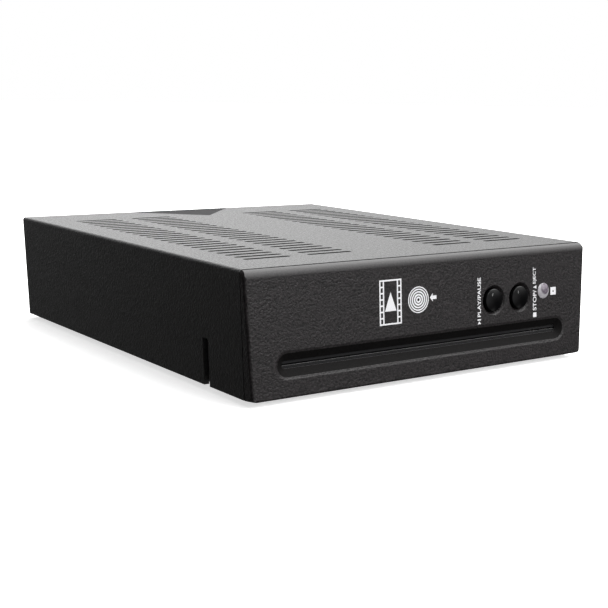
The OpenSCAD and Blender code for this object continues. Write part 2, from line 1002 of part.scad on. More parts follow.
module phono(i, tint) {
    color(tint)
    translate([phono_x + i * phono_pitch, 0, jack_z])
        difference() {
            union() {
                rod_y(rear_y, rear_y + phono_out, phono_r);
                rod_y(panel_y - phono_tail, rear_y + eps, phono_neck_r);
            }
            rod_y(rear_y + phono_out - phono_bore_l, rear_y + phono_out + 1, phono_bore_r);
        }
}

module video_jack() {
    phono(-1, "#d8b22a");
}

module left_jack() {
    phono(0, "#e4e2dc");
}

module right_jack() {
    phono(1, "#b3262a");
}

rocker_gap = 0.4;
rocker_pin_r = 1;
rocker_axis_y = rear_y - 1.4;

module rocker_frame() {
    wx = rocker_w / 2 - 0.2;
    wz = rocker_h / 2 - 0.2;
    color(black)
    translate([rocker_x, 0, rocker_z])
        difference() {
            union() {
                span([-wx, panel_y - rocker_l, -wz], [wx, rear_y, wz]);
                span([-wx - rocker_rim, rear_y, -wz - rocker_rim],
                    [wx + rocker_rim, rear_y + 1, wz + rocker_rim]);
            }
            span([-wx + 1, panel_y - 6, -wz + 1], [wx - 1, rear_y + 2, wz - 1]);
            translate([0, rocker_axis_y, 0])
                cylinder(r = rocker_pin_r + fit, h = 2 * wz - 1.2, center = true);
        }
}

// Rocker in its off position: the +X half stands proud
module power_rocker() {
    wx = rocker_w / 2 - 1.2 - rocker_gap;
    wz = rocker_h / 2 - 1.2 - 0.15;
    color("#141416")
    translate([rocker_x, rocker_axis_y, rocker_z]) {
        rotate([0, 0, rocker_tilt / 2])
            difference() {
                translate([0, 0, -wz])
                    linear_extrude(2 * wz)
                        intersection() {
                            translate([0, -wx * 0.2])
                                circle(wx);
                            span2([-wx, -wx], [wx, 2]);
                        }
                translate([0, 11.4, -wz - 1])
                    cylinder(r = 10, h = 2 * wz + 2, $fn = 64);
            }
        cylinder(r = rocker_pin_r, h = rocker_h - 2.2, center = true);
    }
}

// ---------------------------------------------------------------- slot drive

ear_h = 17;
ear_l = 34;
ear_top = plate_top + ear_h;
ear_y1 = roller_y + ear_l;
lug_y = [frame_y0 + 14, frame_y1 - 6];
lug_x = frame_x - 3;
damper_inset = 7;
damper_end = 15;
damper_x = frame_x - damper_inset;
damper_mid = (frame_y0 + frame_y1) / 2;
damper_reach = (frame_y1 - frame_y0) / 2 - damper_end;
damper_r = 4;
damper_hole_r = 2.9;
bush_r = 2.4;
pin_reach = 5.4;
pin_x = well_x + pin_reach;
pin_r = 0.8;
pin_y = [spin_y - 12, spin_y + 54];
pin_drop = 3.2;
pin_z = rest_z - pin_drop;
tab_w = 6;
cam_gap = 1.4;
cam_x = well_x + cam_gap;
cam_t = 1.2;
cam_bar_w = 4;
cam_bar_y = pin_y[0] - cam_travel - 30;

module loader_frame() {
    x = frame_x + sheet;
    color(steel)
    difference() {
        union() {
            span([-x, frame_y0, frame_z], [x, frame_y1, frame_z + sheet]);
            both_sides()
                span([frame_x, frame_y0, frame_z], [x, frame_y1, frame_top]);
            // tall ear that carries the gears and the motor
            span([frame_x, frame_y0, frame_z], [x, ear_y1, ear_top]);
            span([-x, frame_y1 - sheet, frame_z], [x, frame_y1, frame_top]);
            both_sides()
                for (y = pin_y)
                    span([cam_x + cam_t + 0.4, y - tab_w / 2, frame_z + sheet - eps],
                        [cam_x + cam_t + 0.4 + sheet, y + tab_w / 2, pin_z + lift + 1.8]);
            // turned-in lugs for the top plate
            both_sides()
                for (y = lug_y)
                    span([frame_x - 6, y - 4, frame_top - 2], [frame_x + eps, y + 4, frame_top]);
        }
        span([-well_x, spin_y - 40, frame_z - 1], [well_x, frame_y1 - 4, frame_z + 2]);
        both_sides()
            for (y = pin_y)
                translate([cam_x, y, pin_z])
                    along_x_slot(pin_r + 0.12, lift);
        for (x = [-1, 1])
            for (y = [-1, 1])
                translate([x * damper_x, damper_mid + y * damper_reach, frame_z - 1])
                    cylinder(r = damper_hole_r, h = 4);
        translate([0, roller_y, roller_z])
            rod_x(-x - 1, x + 1, bush_r + 0.02);
        for (p = [idler_at, reduction_at])
            translate([0, p[0], p[1]])
                rod_x(frame_x - 1, x + 1, axle_r + 0.02);
        translate([0, pinion_at[0], pinion_at[1]])
            rod_x(frame_x - 1, x + 1, motor_boss_r + 0.1);
        both_sides()
            for (y = lug_y)
                translate([lug_x, y, frame_top - 3])
                    cylinder(r = small_screw_r + fit, h = 5);
    }
}

// Upright slot through sheets that stand in the YZ plane
module along_x_slot(r, h) {
    rod_x(0, 4, r);
    translate([0, 0, h])
        rod_x(0, 4, r);
    span([0, -r, 0], [4, r, h]);
}

clamp_hole_r = 13.2;
window_inset = 26.5;
plate_window_l = 18;
bridge_step = 3;
bridge_foot = 5;
bridge_rise = 1.8;
bridge_t = 0.8;
bridge_half_w = 5;

module loader_top() {
    x = frame_x + sheet;
    color(steel)
    difference() {
        union() {
            span([-x, frame_y0 + 10, frame_top], [frame_x - 0.3, frame_y1, plate_top]);
            span([frame_x - 1, ear_y1 + 0.5, frame_top], [x, frame_y1, plate_top]);
            for (p = lever_pivots)
                translate([p[0], p[1], 0]) {
                    translate([0, 0, lever_z - 0.1 - lever_head_t])
                        cylinder(r = 2.6, h = lever_head_t);
                    translate([0, 0, lever_z - 0.2])
                        cylinder(r = lever_pin_r, h = frame_top - lever_z + 0.3);
                    translate([0, 0, lever_z + lever_t + 0.1])
                        cylinder(r = 2.6, h = frame_top - lever_z - lever_t);
                }
        }
        translate([0, spin_y, frame_top - 1])
            cylinder(r = clamp_hole_r, h = 4);
        // lightening holes
        for (side = [-1, 1])
            translate([side * (frame_x - window_inset), spin_y, frame_top - 1])
                linear_extrude(4)
                    stadium(plate_window_l, plate_window_l / 2);
        both_sides()
            for (y = lug_y)
                translate([lug_x, y, frame_top - 1])
                    cylinder(r = small_screw_r + 0.2, h = 4);
    }
}

guide_low = disc_z + 3.8;

module disc_guide() {
    x = frame_x - 0.5;
    y0 = frame_y0 + 0.4;
    y1 = frame_y0 + 9.6;
    color("#d8d6cf")
    along_x(-x, x)
        polygon([[y0, frame_top], [y0, guide_low + 1.6], [y0 + 2, guide_low], [y1, guide_low],
            [y1, plate_top], [y0 + 3, plate_top]]);
}

module clamp_bridge() {
    x0 = clamp_hole_r + 2 * bridge_step;
    x1 = x0 + bridge_foot;
    y0 = spin_y - bridge_half_w;
    y1 = spin_y + bridge_half_w;
    z = plate_top + bridge_rise;
    color(steel)
    difference() {
        union() {
            span([-x1, y0, z], [x1, y1, z + bridge_t]);
            both_sides() {
                span([x0, y0, plate_top], [x0 + bridge_t, y1, z + 0.1]);
                span([x0, y0, plate_top], [x1, y1, plate_top + bridge_t]);
            }
        }
        both_sides()
            span([x0 + bridge_t + eps, y0 - 1, plate_top + bridge_t + eps], [x1 + 1, y1 + 1, z + 2]);
        translate([0, spin_y, z - 1])
            cylinder(r = 1.5, h = 3);
    }
}

module rubber_dampers() {
    z1 = frame_z + sheet;
    color(rubber)
    for (x = [-1, 1])
        for (y = [-1, 1])
            translate([x * damper_x, damper_mid + y * damper_reach, 0])
                rotate_extrude()
                    polygon([[1.9, tray_top], [damper_r, tray_top], [damper_r, frame_z - 0.02],
                        [damper_hole_r - 0.02, frame_z - 0.02], [damper_hole_r - 0.02, z1 + 0.02],
                        [damper_r, z1 + 0.02], [damper_r, z1 + 1], [1.9, z1 + 1]]);
}

module damper_screws() {
    z1 = frame_z + sheet + 1;
    color(zinc)
    for (x = [-1, 1])
        for (y = [-1, 1])
            translate([x * damper_x, damper_mid + y * damper_reach, 0])
                rotate_extrude()
                    polygon([[0, tray_top - tray_t], [small_screw_r, tray_top - tray_t],
                        [small_screw_r, tray_top], [1.8, tray_top], [1.8, z1 + 0.05],
                        [3.2, z1 + 0.05], [3.2, z1 + 1], [0, z1 + 1]]);
}

module roller_bushes() {
    color(cream)
    translate([0, roller_y, roller_z])
        both_sides()
            difference() {
                union() {
                    rod_x(frame_x - 1.4, frame_x + sheet + 0.1, bush_r);
                    rod_x(frame_x - 1.4, frame_x - 0.05, bush_r + 0.8);
                }
                rod_x(frame_x - 3, frame_x + 3, shaft_r + fit);
            }
}

// Gear train on the outside of the ear, centres as [y, z], axes along X.
// Each gear lies its centre distance away from the one before it.
pitch_r = [roller_teeth, small_teeth, large_teeth] * gear_m / 2;
axle_r = 1;
gear_x0 = frame_x + sheet + 0.6;
gear_step = gear_w + 0.4;
roller_at = [roller_y, roller_z];
idler_dir = 39;
reduction_dir = 60;
pinion_dir = 20;
idler_at = roller_at + (pitch_r[0] + pitch_r[1]) * [cos(idler_dir), sin(idler_dir)];
reduction_at = idler_at + (pitch_r[1] + pitch_r[2]) * [cos(reduction_dir), sin(reduction_dir)];
pinion_at = reduction_at + (pitch_r[1] + pitch_r[2]) * [cos(pinion_dir), sin(pinion_dir)];

// Rotation that puts a gear in mesh with the one before it, seen from +X
function mesh_turn(turn, dir, teeth, next) =
    dir + 180 + 180 / next - (turn - dir) * teeth / next;
idler_turn = mesh_turn(0, idler_dir, roller_teeth, small_teeth);
reduction_turn = mesh_turn(idler_turn, reduction_dir, large_teeth, small_teeth);
pinion_turn = mesh_turn(reduction_turn, pinion_dir, large_teeth, small_teeth);

pressure = 25;
backlash = 0.07;
flank_steps = 3;

// Involute tooth: half its angle at radius r
function roll(c) = tan(c) * 180 / PI - c;
function tooth_half(r, teeth) =
    let (rp = teeth * gear_m / 2, rb = rp * cos(pressure))
    90 / teeth - backlash / rp * 180 / PI + roll(pressure) - roll(acos(min(1, rb / r)));

function tooth_points(teeth, c) =
    let (rp = teeth * gear_m / 2, rb = rp * cos(pressure), tip = rp + gear_m,
        root = rp - 1.25 * gear_m, start = max(rb, root + 0.05),
        radii = [for (i = [0:flank_steps]) start + (tip - start) * i / flank_steps])
    concat([root * [cos(c - tooth_half(start, teeth)), sin(c - tooth_half(start, teeth))]],
        [for (r = radii) r * [cos(c - tooth_half(r, teeth)), sin(c - tooth_half(r, teeth))]],
        [for (i = [flank_steps:-1:0]) let (r = radii[i])
            r * [cos(c + tooth_half(r, teeth)), sin(c + tooth_half(r, teeth))]],
        [root * [cos(c + tooth_half(start, teeth)), sin(c + tooth_half(start, teeth))]]);

// Spur gear across the YZ plane from x0, one tooth towards +Y
module gear(teeth, x0, w) {
    along_x(x0, x0 + w)
        polygon([for (i = [0:teeth - 1]) each tooth_points(teeth, i * 360 / teeth)]);
}

module roller_gear() {
    color(cream)
    translate([0, roller_at[0], roller_at[1]])
        difference() {
            gear(roller_teeth, gear_x0, gear_w);
            rod_x(gear_x0 - 1, gear_x0 + gear_w + 1, shaft_r);
        }
}

// A large and a small wheel in one moulding, the small one from x0, with a bore for its axle
module double_gear(at, turn, small_x, large_x) {
    color(cream)
    translate([0, at[0], at[1]])
        rotate([turn, 0, 0])
            difference() {
                union() {
                    gear(small_teeth, small_x, gear_step);
                    gear(large_teeth, large_x, gear_w);
                    rod_x(small_x, large_x + gear_w, 1.8);
                }
                rod_x(small_x - 1, large_x + gear_w + 1, axle_r + fit);
            }
}

module idler_gear() {
    double_gear(idler_at, idler_turn, gear_x0, gear_x0 + gear_step);
}

module reduction_gear() {
    double_gear(reduction_at, reduction_turn, gear_x0 + gear_step, gear_x0 + 2 * gear_step);
}

module gear_axles() {
    color(zinc)
    for (p = [[idler_at, gear_x0 + 2 * gear_step + 0.3], [reduction_at, gear_x0 + 3 * gear_step + 0.3]])
        translate([0, p[0][0], p[0][1]]) {
            rod_x(frame_x + 0.2, p[1], axle_r);
            rod_x(p[1] - eps, p[1] + 0.6, axle_r + 0.7);
        }
}

motor_r = 7.5;
motor_l = 20;
motor_boss_r = 2.5;

module load_motor() {
    color(steel)
    translate([0, pinion_at[0], pinion_at[1]])
        difference() {
            union() {
                rod_x(frame_x - motor_l, frame_x, motor_r);
                rod_x(frame_x - eps, frame_x + sheet + 0.2, motor_boss_r);
                rod_x(frame_x - motor_l - 1.4, frame_x - motor_l + eps, 3);
            }
            rod_x(frame_x - 6, frame_x + 5, axle_r + fit);
        }
}

module motor_pinion() {
    x0 = gear_x0 + 2 * gear_step;
    color(brass)
    translate([0, pinion_at[0], pinion_at[1]])
        rotate([pinion_turn, 0, 0]) {
            gear(small_teeth, x0, gear_w);
            rod_x(frame_x - 5, x0 + gear_w + 0.6, axle_r);
            rod_x(frame_x + sheet + 0.4, x0 + eps, 1.6);
        }
}

module roller_shaft() {
    color(zinc)
    translate([0, roller_y, roller_z])
        rod_x(-frame_x - sheet - 1, gear_x0 + gear_w + 0.2, shaft_r);
}

// Rubber sleeve, thin in the middle so that only the rim of the disc is gripped
module feed_roller() {
    x = frame_x - 2.2;
    color(rubber)
    translate([0, roller_y, roller_z])
        rotate([0, 90, 0])
            rotate_extrude()
                polygon([[shaft_r, -x], [roller_r - 0.4, -x], [roller_r, -x + 0.6],
                    [roller_waist_r, -4], [roller_waist_r, 4], [roller_r, x - 0.6],
                    [roller_r - 0.4, x], [shaft_r, x]]);
}

// ---------------------------------------------------------------- traverse

traverse_z = frame_z - 0.2;
traverse_t = 0.8;
traverse_top = traverse_z + traverse_t;
well_gap = 2.1;
traverse_x = well_x - well_gap;
traverse_y0 = spin_y - 18;
traverse_y1 = spin_y + 72;
rod_r = 1;
rod_inset = 21.5;
rod_at = traverse_x - rod_inset;
rod_rise = 1.9;
rod_z = traverse_top + rod_rise;
post_top = rod_z + rod_r + 0.8;
post_half_w = 2.4;
sled_y0 = spin_y + 14;
lens_back = 10;
lens_y = sled_y0 + lens_back;
screw_inset = 10.5;
screw_x = -(traverse_x - screw_inset);
lead_r = 1.2;
sled_motor_r = 2.4;
sled_motor_l = 16;
bearing_gap = 2.2;
bearing_y = sled_y0 - bearing_gap;
window_edge = 6;
spindle_r = 11.5;

module traverse_frame() {
    color(zinc)
    difference() {
        union() {
            span([-traverse_x, traverse_y0, traverse_z], [traverse_x, traverse_y1, traverse_top]);
            both_sides() {
                span([traverse_x - traverse_t, traverse_y0, traverse_z],
                    [traverse_x, traverse_y1, pin_z + 1.4]);
                for (y = pin_y)
                    translate([0, y, pin_z])
                        rod_x(traverse_x - 0.1, pin_x, pin_r);
            }
            // upright ends that hold the rods and the lead screw
            span([-traverse_x, traverse_y1 - traverse_t, traverse_z], [traverse_x, traverse_y1, post_top]);
            for (x = [-rod_at, rod_at, screw_x])
                span([x - post_half_w, bearing_y - 1, traverse_z], [x + post_half_w, bearing_y, post_top]);
        }
        for (x = [-rod_at, rod_at])
            translate([x, 0, rod_z])
                rod_y(bearing_y - 2, traverse_y1 + 1, rod_r + 0.02);
        translate([screw_x, 0, rod_z])
            rod_y(bearing_y - 2, traverse_y1 + 1, lead_r + fit);
        span([screw_x - sled_motor_r - 0.6, bearing_y - sled_motor_l - 4, traverse_z - 1],
            [screw_x + sled_motor_r + 0.6, bearing_y - 1 - eps, traverse_top + 0.1]);
        // window that lightens the plate and lets the sled's lens look out
        span([window_edge - rod_at, sled_y0 + 4, traverse_z - 1],
            [rod_at - window_edge, traverse_y1 - window_edge, traverse_top + 0.1]);
    }
}

module spindle_motor() {
    color(steel)
    translate([0, spin_y, 0])
        difference() {
            translate([0, 0, traverse_top])
                cylinder(r = spindle_r, h = rest_z - 1.2 - traverse_top - 0.3);
            translate([0, 0, traverse_top + 0.4])
                cylinder(r = rod_r + fit, h = 20);
        }
}

module guide_rods() {
    color(zinc)
    for (x = [-rod_at, rod_at])
        translate([x, 0, rod_z])
            rod_y(bearing_y - 1.2, traverse_y1 + 0.2, rod_r);
}

module sled_motor() {
    color(zinc)
    translate([screw_x, 0, rod_z]) {
        difference() {
            rod_y(bearing_y - 1 - sled_motor_l, bearing_y - 1 - touch, sled_motor_r);
            rod_y(bearing_y - 6, bearing_y, lead_r + fit);
        }
    }
}

module lead_screw() {
    color(steel)
    translate([screw_x, 0, rod_z])
        rod_y(bearing_y - 5.4, traverse_y1 + 0.6, lead_r);
}

module turntable() {
    color(black)
    translate([0, spin_y, 0]) {
        rotate_extrude()
            polygon([[0, rest_z - 1.2], [13.4, rest_z - 1.2], [14, rest_z - 0.7], [14, rest_z],
                [7.4, rest_z], [7.4, rest_z + 1], [6.4, rest_z + 1.6], [0, rest_z + 1.6]]);
        translate([0, 0, traverse_top + 0.6])
            cylinder(r = rod_r, h = rest_z - traverse_top - 1);
    }
}

clamp_z = play_z + path_h - 0.2;

module clamper() {
    color("#d6d3cb")
    translate([0, spin_y, 0])
        rotate_extrude()
            polygon([[0, clamp_z + 1.9], [8.2, clamp_z + 1.9], [8.2, clamp_z], [clamp_hole_r - 0.6, clamp_z],
                [clamp_hole_r - 0.6, plate_top + 0.1], [clamp_hole_r + 1.8, plate_top + 0.1],
                [clamp_hole_r + 1.8, plate_top + 0.9], [3, plate_top + 1.3], [0, plate_top + 1.3]]);
}

sled_z = traverse_top + 0.4;
sled_h = 3;
sled_l = 20;
sled_edge = 3.4;
sled_top = sled_z + sled_h;
lens_pocket = [7, 6];

module pickup_sled() {
    y1 = sled_y0 + sled_l;
    x1 = rod_at + sled_edge;
    color("#3a3b3f")
    difference() {
        union() {
            span([-x1, sled_y0, sled_z], [x1, y1, sled_top]);
            // half nut beside the lead screw
            span([screw_x, sled_y0 + 6, sled_z], [-x1 + 0.4, y1 - 6, sled_top]);
        }
        translate([-rod_at, 0, rod_z])
            rod_y(sled_y0 - 1, y1 + 1, rod_r + fit);
        translate([screw_x, 0, rod_z])
            rod_y(sled_y0 - 1, y1 + 1, lead_r + fit);
        span([rod_at - rod_r - 0.4, sled_y0 - 1, rod_z - rod_r - 0.1],
            [x1 + 1, y1 + 1, rod_z + rod_r + 0.1]);
        // pocket for the lens and its coils
        span([-lens_pocket[0], lens_y - lens_pocket[1], sled_z + 0.8],
            [lens_pocket[0], lens_y + lens_pocket[1], sled_top + 1]);
    }
}

lens_mount = [5.5, 4.5];
lens_r = 2.3;

module lens_holder() {
    z0 = sled_z + 1.4;
    color("#5a3f6b")
    translate([0, lens_y, 0]) {
        translate([-lens_mount[0], -lens_mount[1], z0])
            cube([2 * lens_mount[0], 2 * lens_mount[1], 1.4]);
        translate([0, 0, z0 + 1.3])
            cylinder(r = lens_r + 0.7, h = 0.5);
        intersection() {
            translate([0, 0, z0 - 1.2])
                sphere(3.8);
            translate([0, 0, z0 + 1.7])
                cylinder(r = lens_r, h = 2);
        }
    }
}

cam_z0 = frame_z + sheet + 0.1;
cam_z1 = pin_z + lift + 1.6;

// Frame with a slanted slot over each pin; it runs towards the rear as the pins rise
module cam_slider() {
    color("#b9bcc0")
    difference() {
        union() {
            both_sides()
                span([cam_x, cam_bar_y, cam_z0], [cam_x + cam_t, pin_y[1] + 5, cam_z1]);
            span([-cam_x - cam_t, cam_bar_y, cam_z0], [cam_x + cam_t, cam_bar_y + cam_bar_w, cam_z0 + 1.4]);
        }
        both_sides()
            for (y = pin_y)
                translate([cam_x - 1, y, pin_z])
                    slanted_slot(pin_r + 0.12);
    }
}

module slanted_slot(r) {
    run = norm([cam_travel, lift]);
    rotate([180 - atan(lift / cam_travel), 0, 0])
        union() {
            rod_x(0, cam_t + 2, r);
            translate([0, run, 0])
                rod_x(0, cam_t + 2, r);
            span([0, 0, -r], [cam_t + 2, run, r]);
        }
}

// ---------------------------------------------------------------- disc levers

lever_pin_r = 1.5;
lever_head_t = 0.7;
lever_t = 1;
lever_z = disc_z + 2.9;
lever_tip_z = path_low - 1;
entry_inset = 8.5;
entry_back = 38;
eject_inset = 24.5;
eject_past = 4;
entry_pivot = [frame_x - entry_inset, spin_y - entry_back];
entry_tip = [-4, -17.5];
eject_pivot = [eject_inset - frame_x, frame_y1 - 8];
eject_tip = [eject_past - eject_pivot[0], -1];
lever_pivots = [entry_pivot, [-entry_pivot[0], entry_pivot[1]], eject_pivot];

// Flat arm with a bore over its pivot and a post that the disc meets
module lever(tip, post_r) {
    l = norm(tip);
    color("#cfccc4")
    difference() {
        union() {
            translate([0, 0, lever_z])
                linear_extrude(lever_t) {
                    circle(3.6);
                    rotate(atan2(tip[1], tip[0]))
                        polygon([[0, -3.2], [l, -post_r - 0.4], [l, post_r + 0.4], [0, 3.2]]);
                    translate(tip)
                        circle(post_r + 0.6);
                }
            translate([tip[0], tip[1], lever_tip_z])
                cylinder(r = post_r, h = lever_z - lever_tip_z + eps);
        }
        translate([0, 0, lever_z - 1])
            cylinder(r = lever_pin_r + fit, h = lever_t + 2);
    }
}

module entry_lever_right() {
    translate([entry_pivot[0], entry_pivot[1], 0])
        lever(entry_tip, 1.2);
}

module entry_lever_left() {
    translate([-entry_pivot[0], entry_pivot[1], 0])
        lever([-entry_tip[0], entry_tip[1]], 1.2);
}

module eject_lever() {
    translate([eject_pivot[0], eject_pivot[1], 0])
        lever(eject_tip, 1.5);
}

top_cover();
front_bezel();
base_tray();
rear_panel();
rubber_feet();
case_screws();
small_screws();
upper_felt();
lower_felt();
ir_window();
front_board();
tact_switches();
ir_receiver();
status_led();
front_ribbon();
main_board();
board_standoffs();
board_components();
capacitors();
heatsink();
dc_jack();
av_jack_block();
video_jack();
left_jack();
right_jack();
rocker_frame();
loader_frame();
loader_top();
disc_guide();
clamp_bridge();
rubber_dampers();
damper_screws();
roller_bushes();
load_motor();
gear_axles();
play_button();
stop_button();
play_plunger();
stop_plunger();
power_rocker();
roller_shaft();
feed_roller();
roller_gear();
idler_gear();
reduction_gear();
motor_pinion();
traverse_frame();
spindle_motor();
guide_rods();
sled_motor();
cam_slider();
turntable();
clamper();
pickup_sled();
lens_holder();
lead_screw();
entry_lever_left();
entry_lever_right();
eject_lever();
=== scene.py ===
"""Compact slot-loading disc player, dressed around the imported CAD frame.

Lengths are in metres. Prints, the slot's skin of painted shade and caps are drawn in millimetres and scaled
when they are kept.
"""

import math

import bmesh
import bpy
from mathutils import Matrix, Vector


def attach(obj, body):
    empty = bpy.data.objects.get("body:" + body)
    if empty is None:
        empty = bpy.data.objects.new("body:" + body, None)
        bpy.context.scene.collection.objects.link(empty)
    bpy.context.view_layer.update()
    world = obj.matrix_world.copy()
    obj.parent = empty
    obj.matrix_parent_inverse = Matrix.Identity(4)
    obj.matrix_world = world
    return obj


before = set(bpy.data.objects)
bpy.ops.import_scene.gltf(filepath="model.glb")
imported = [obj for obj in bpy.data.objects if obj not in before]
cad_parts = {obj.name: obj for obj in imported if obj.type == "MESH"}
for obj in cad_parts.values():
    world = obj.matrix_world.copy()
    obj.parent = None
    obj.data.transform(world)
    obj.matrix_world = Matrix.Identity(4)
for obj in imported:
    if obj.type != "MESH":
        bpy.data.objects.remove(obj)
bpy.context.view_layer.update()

MM = 0.001
node = {name: bpy.data.objects[o.name] for name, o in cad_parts.items()}

# ---------------------------------------------------------------- camera

CAMERA_PLACE = Vector((-0.27913, -0.41354, 0.10144))
# Degrees to the right of +Y, above the level and round its own line of sight
CAMERA_TURN, CAMERA_TILT, CAMERA_ROLL = 35.0219, -9.9815, 0.9329
PHOTO_SIDE = 608
FOCAL_PX = 1178.6
SENSOR_MM = 36


def turned_by(degrees, axis):
    return Matrix.Rotation(math.radians(degrees), 4, axis)


def add_camera():
    data = bpy.data.cameras.new("camera")
    data.sensor_width = SENSOR_MM
    data.lens = FOCAL_PX / PHOTO_SIDE * SENSOR_MM
    data.clip_start = 0.01
    data.clip_end = 50
    camera = bpy.data.objects.new("camera", data)
    bpy.context.scene.collection.objects.link(camera)
    aim = turned_by(-CAMERA_TURN, "Z") @ turned_by(90 + CAMERA_TILT, "X") @ turned_by(CAMERA_ROLL, "Z")
    camera.matrix_world = Matrix.Translation(CAMERA_PLACE) @ aim
    bpy.context.scene.camera = camera


# ---------------------------------------------------------------- materials

# Places that a look depends on: the cover's face, the height where the bezel's grain ends, how far the vents
# reach from the middle, the window, the rear panel and its sockets
TOP_Z = 46 * MM
BAND_Z = 43.2 * MM
VENT_X = 75 * MM
WINDOW_X, WINDOW_Z = 56.8 * MM, 28.6 * MM
REAR_Y = 92 * MM
JACK_Z = 34.1 * MM
PHONO_X, PHONO_PITCH = -12 * MM, 14 * MM
PHONO_R, PHONO_BORE_R = 4.15 * MM, 1.7 * MM
DC_X, DC_Z, DC_PIN_R = -52 * MM, 32.7 * MM, 1 * MM
COLLAR_L = 1.4 * MM
# Width over which one colour turns into another
EDGE = 0.1 * MM


class Nodes:
    """Short hand for building one node material."""

    def __init__(self, name, colour, rough, metallic=0.0, specular=0.5):
        self.material = bpy.data.materials.new(name)
        self.material.use_nodes = True
        self.tree = self.material.node_tree
        self.shader = self.tree.nodes["Principled BSDF"]
        self.colour = colour
        self.rough = rough
        self.set("Base Color", (*colour, 1))
        self.set("Roughness", rough)
        self.set("Metallic", metallic)
        self.set("Specular IOR Level", specular)
        self.place = self.new("ShaderNodeTexCoord").outputs["Object"]
        self.height = None

    def set(self, socket, value):
        self.shader.inputs[socket].default_value = value

    def new(self, kind, **settings):
        made = self.tree.nodes.new(kind)
        for key, value in settings.items():
            setattr(made, key, value)
        return made

    def link(self, out, into):
        self.tree.links.new(out, into)

    def mapped(self, stretch):
        """The place on the part, with each axis stretched."""
        made = self.new("ShaderNodeMapping")
        made.inputs["Scale"].default_value = stretch
        self.link(self.place, made.inputs["Vector"])
        return made.outputs["Vector"]

    def noise(self, size, detail=2.0, stretch=None, roughness=0.5):
        """Noise whose features are about size metres across."""
        made = self.new("ShaderNodeTexNoise")
        made.inputs["Scale"].default_value = 1 / size
        made.inputs["Detail"].default_value = detail
        made.inputs["Roughness"].default_value = roughness
        self.link(self.mapped(stretch) if stretch else self.place, made.inputs["Vector"])
        return made.outputs["Fac"]

    def ramp(self, value, low, high, to_low=0.0, to_high=1.0):
        made = self.new("ShaderNodeMapRange")
        for key, number in (("From Min", low), ("From Max", high), ("To Min", to_low), ("To Max", to_high)):
            made.inputs[key].default_value = number
        self.link(value, made.inputs["Value"])
        return made.outputs["Result"]

    def math(self, kind, a, b=0):
        made = self.new("ShaderNodeMath", operation=kind)
        for i, value in enumerate((a, b)):
            if isinstance(value, (int, float)):
                made.inputs[i].default_value = value
            else:
                self.link(value, made.inputs[i])
        return made.outputs[0]

    def mix(self, factor, a, b):
        """Colour that goes from a to b."""
        made = self.new("ShaderNodeMix", data_type="RGBA")
        self.link(factor, made.inputs["Factor"])
        made.inputs[6].default_value = (*a, 1)
        made.inputs[7].default_value = (*b, 1)
        return made.outputs[2]

    def shades(self, factor, low, high):
        """The base colour times low to high."""
        return self.mix(factor, [c * low for c in self.colour], [c * high for c in self.colour])

    def tint(self, factor, spread):
        """Colour that varies by spread round the base colour."""
        self.link(self.shades(factor, 1 - spread, 1 + spread), self.shader.inputs["Base Color"])

    def vary_rough(self, factor, spread):
        out = self.ramp(factor, 0.25, 0.75, self.rough - spread, self.rough + spread)
        self.link(out, self.shader.inputs["Roughness"])

    def axes(self):
        """X, Y and Z of the place on the part."""
        made = self.new("ShaderNodeSeparateXYZ")
        self.link(self.place, made.inputs[0])
        return made.outputs

    def from_axis(self, x0, z0):
        """Distance from a line that runs from front to rear."""
        x, _, z = self.axes()
        parts = [self.math("POWER", self.math("SUBTRACT", a, b), 2) for a, b in ((x, x0), (z, z0))]
        return self.math("SQRT", self.math("ADD", *parts))

    def blend(self, socket, factor, first, second):
        """Feeds a socket with one value that turns into another."""
        colour = isinstance(second, tuple)
        made = self.new("ShaderNodeMix", data_type="RGBA" if colour else "FLOAT")
        a, b, out = (6, 7, 2) if colour else (2, 3, 0)
        self.link(factor, made.inputs["Factor"])
        self.link(first, made.inputs[a])
        made.inputs[b].default_value = (*second, 1) if colour else second
        self.link(made.outputs[out], self.shader.inputs[socket])

    def bump(self, height, depth, strength=1.0):
        """Adds relief; depth in metres."""
        made = self.new("ShaderNodeBump")
        made.inputs["Distance"].default_value = depth
        if isinstance(strength, float):
            made.inputs["Strength"].default_value = strength
        else:
            self.link(strength, made.inputs["Strength"])
        self.link(height, made.inputs["Height"])
        if self.height is not None:
            self.link(self.height, made.inputs["Normal"])
        self.height = made.outputs["Normal"]
        self.link(self.height, self.shader.inputs["Normal"])


def moulded(name, colour, rough, size, depth, specular=0.5, spread=0.12):
    """Moulded plastic with an eroded grain of the given size, its tops rubbed lighter."""
    m = Nodes(name, colour, rough, specular=specular)
    fine = m.noise(size, detail=3, roughness=0.6)
    m.bump(fine, depth)
    m.tint(m.ramp(fine, 0.35, 0.65), spread)
    m.vary_rough(fine, 0.05)
    return m


def polished(name, colour, rough=0.12, specular=0.5, coat=0.0):
    """Polished moulding: faint sink marks and a few fine scuffs."""
    m = Nodes(name, colour, rough, specular=specular)
    m.bump(m.noise(0.004, detail=1), 0.00002)
    m.tint(m.ramp(m.noise(0.0015, detail=4), 0.3, 0.7), 0.06)
    m.vary_rough(m.noise(0.0008, detail=5, stretch=(1, 6, 1)), 0.04)
    m.set("Coat Weight", coat)
    m.set("Coat Roughness", 0.08)
    return m


def brushed(name, colour, rough, along=(1, 40, 40), size=0.02):
    """Rolled or drawn metal with fine lines along one axis."""
    m = Nodes(name, colour, rough, metallic=1.0)
    lines = m.noise(size, detail=6, stretch=along, roughness=0.7)
    m.bump(lines, 0.000004)
    m.tint(m.ramp(m.noise(0.006, detail=5), 0.3, 0.7), 0.1)
    m.vary_rough(lines, 0.09)
    return m


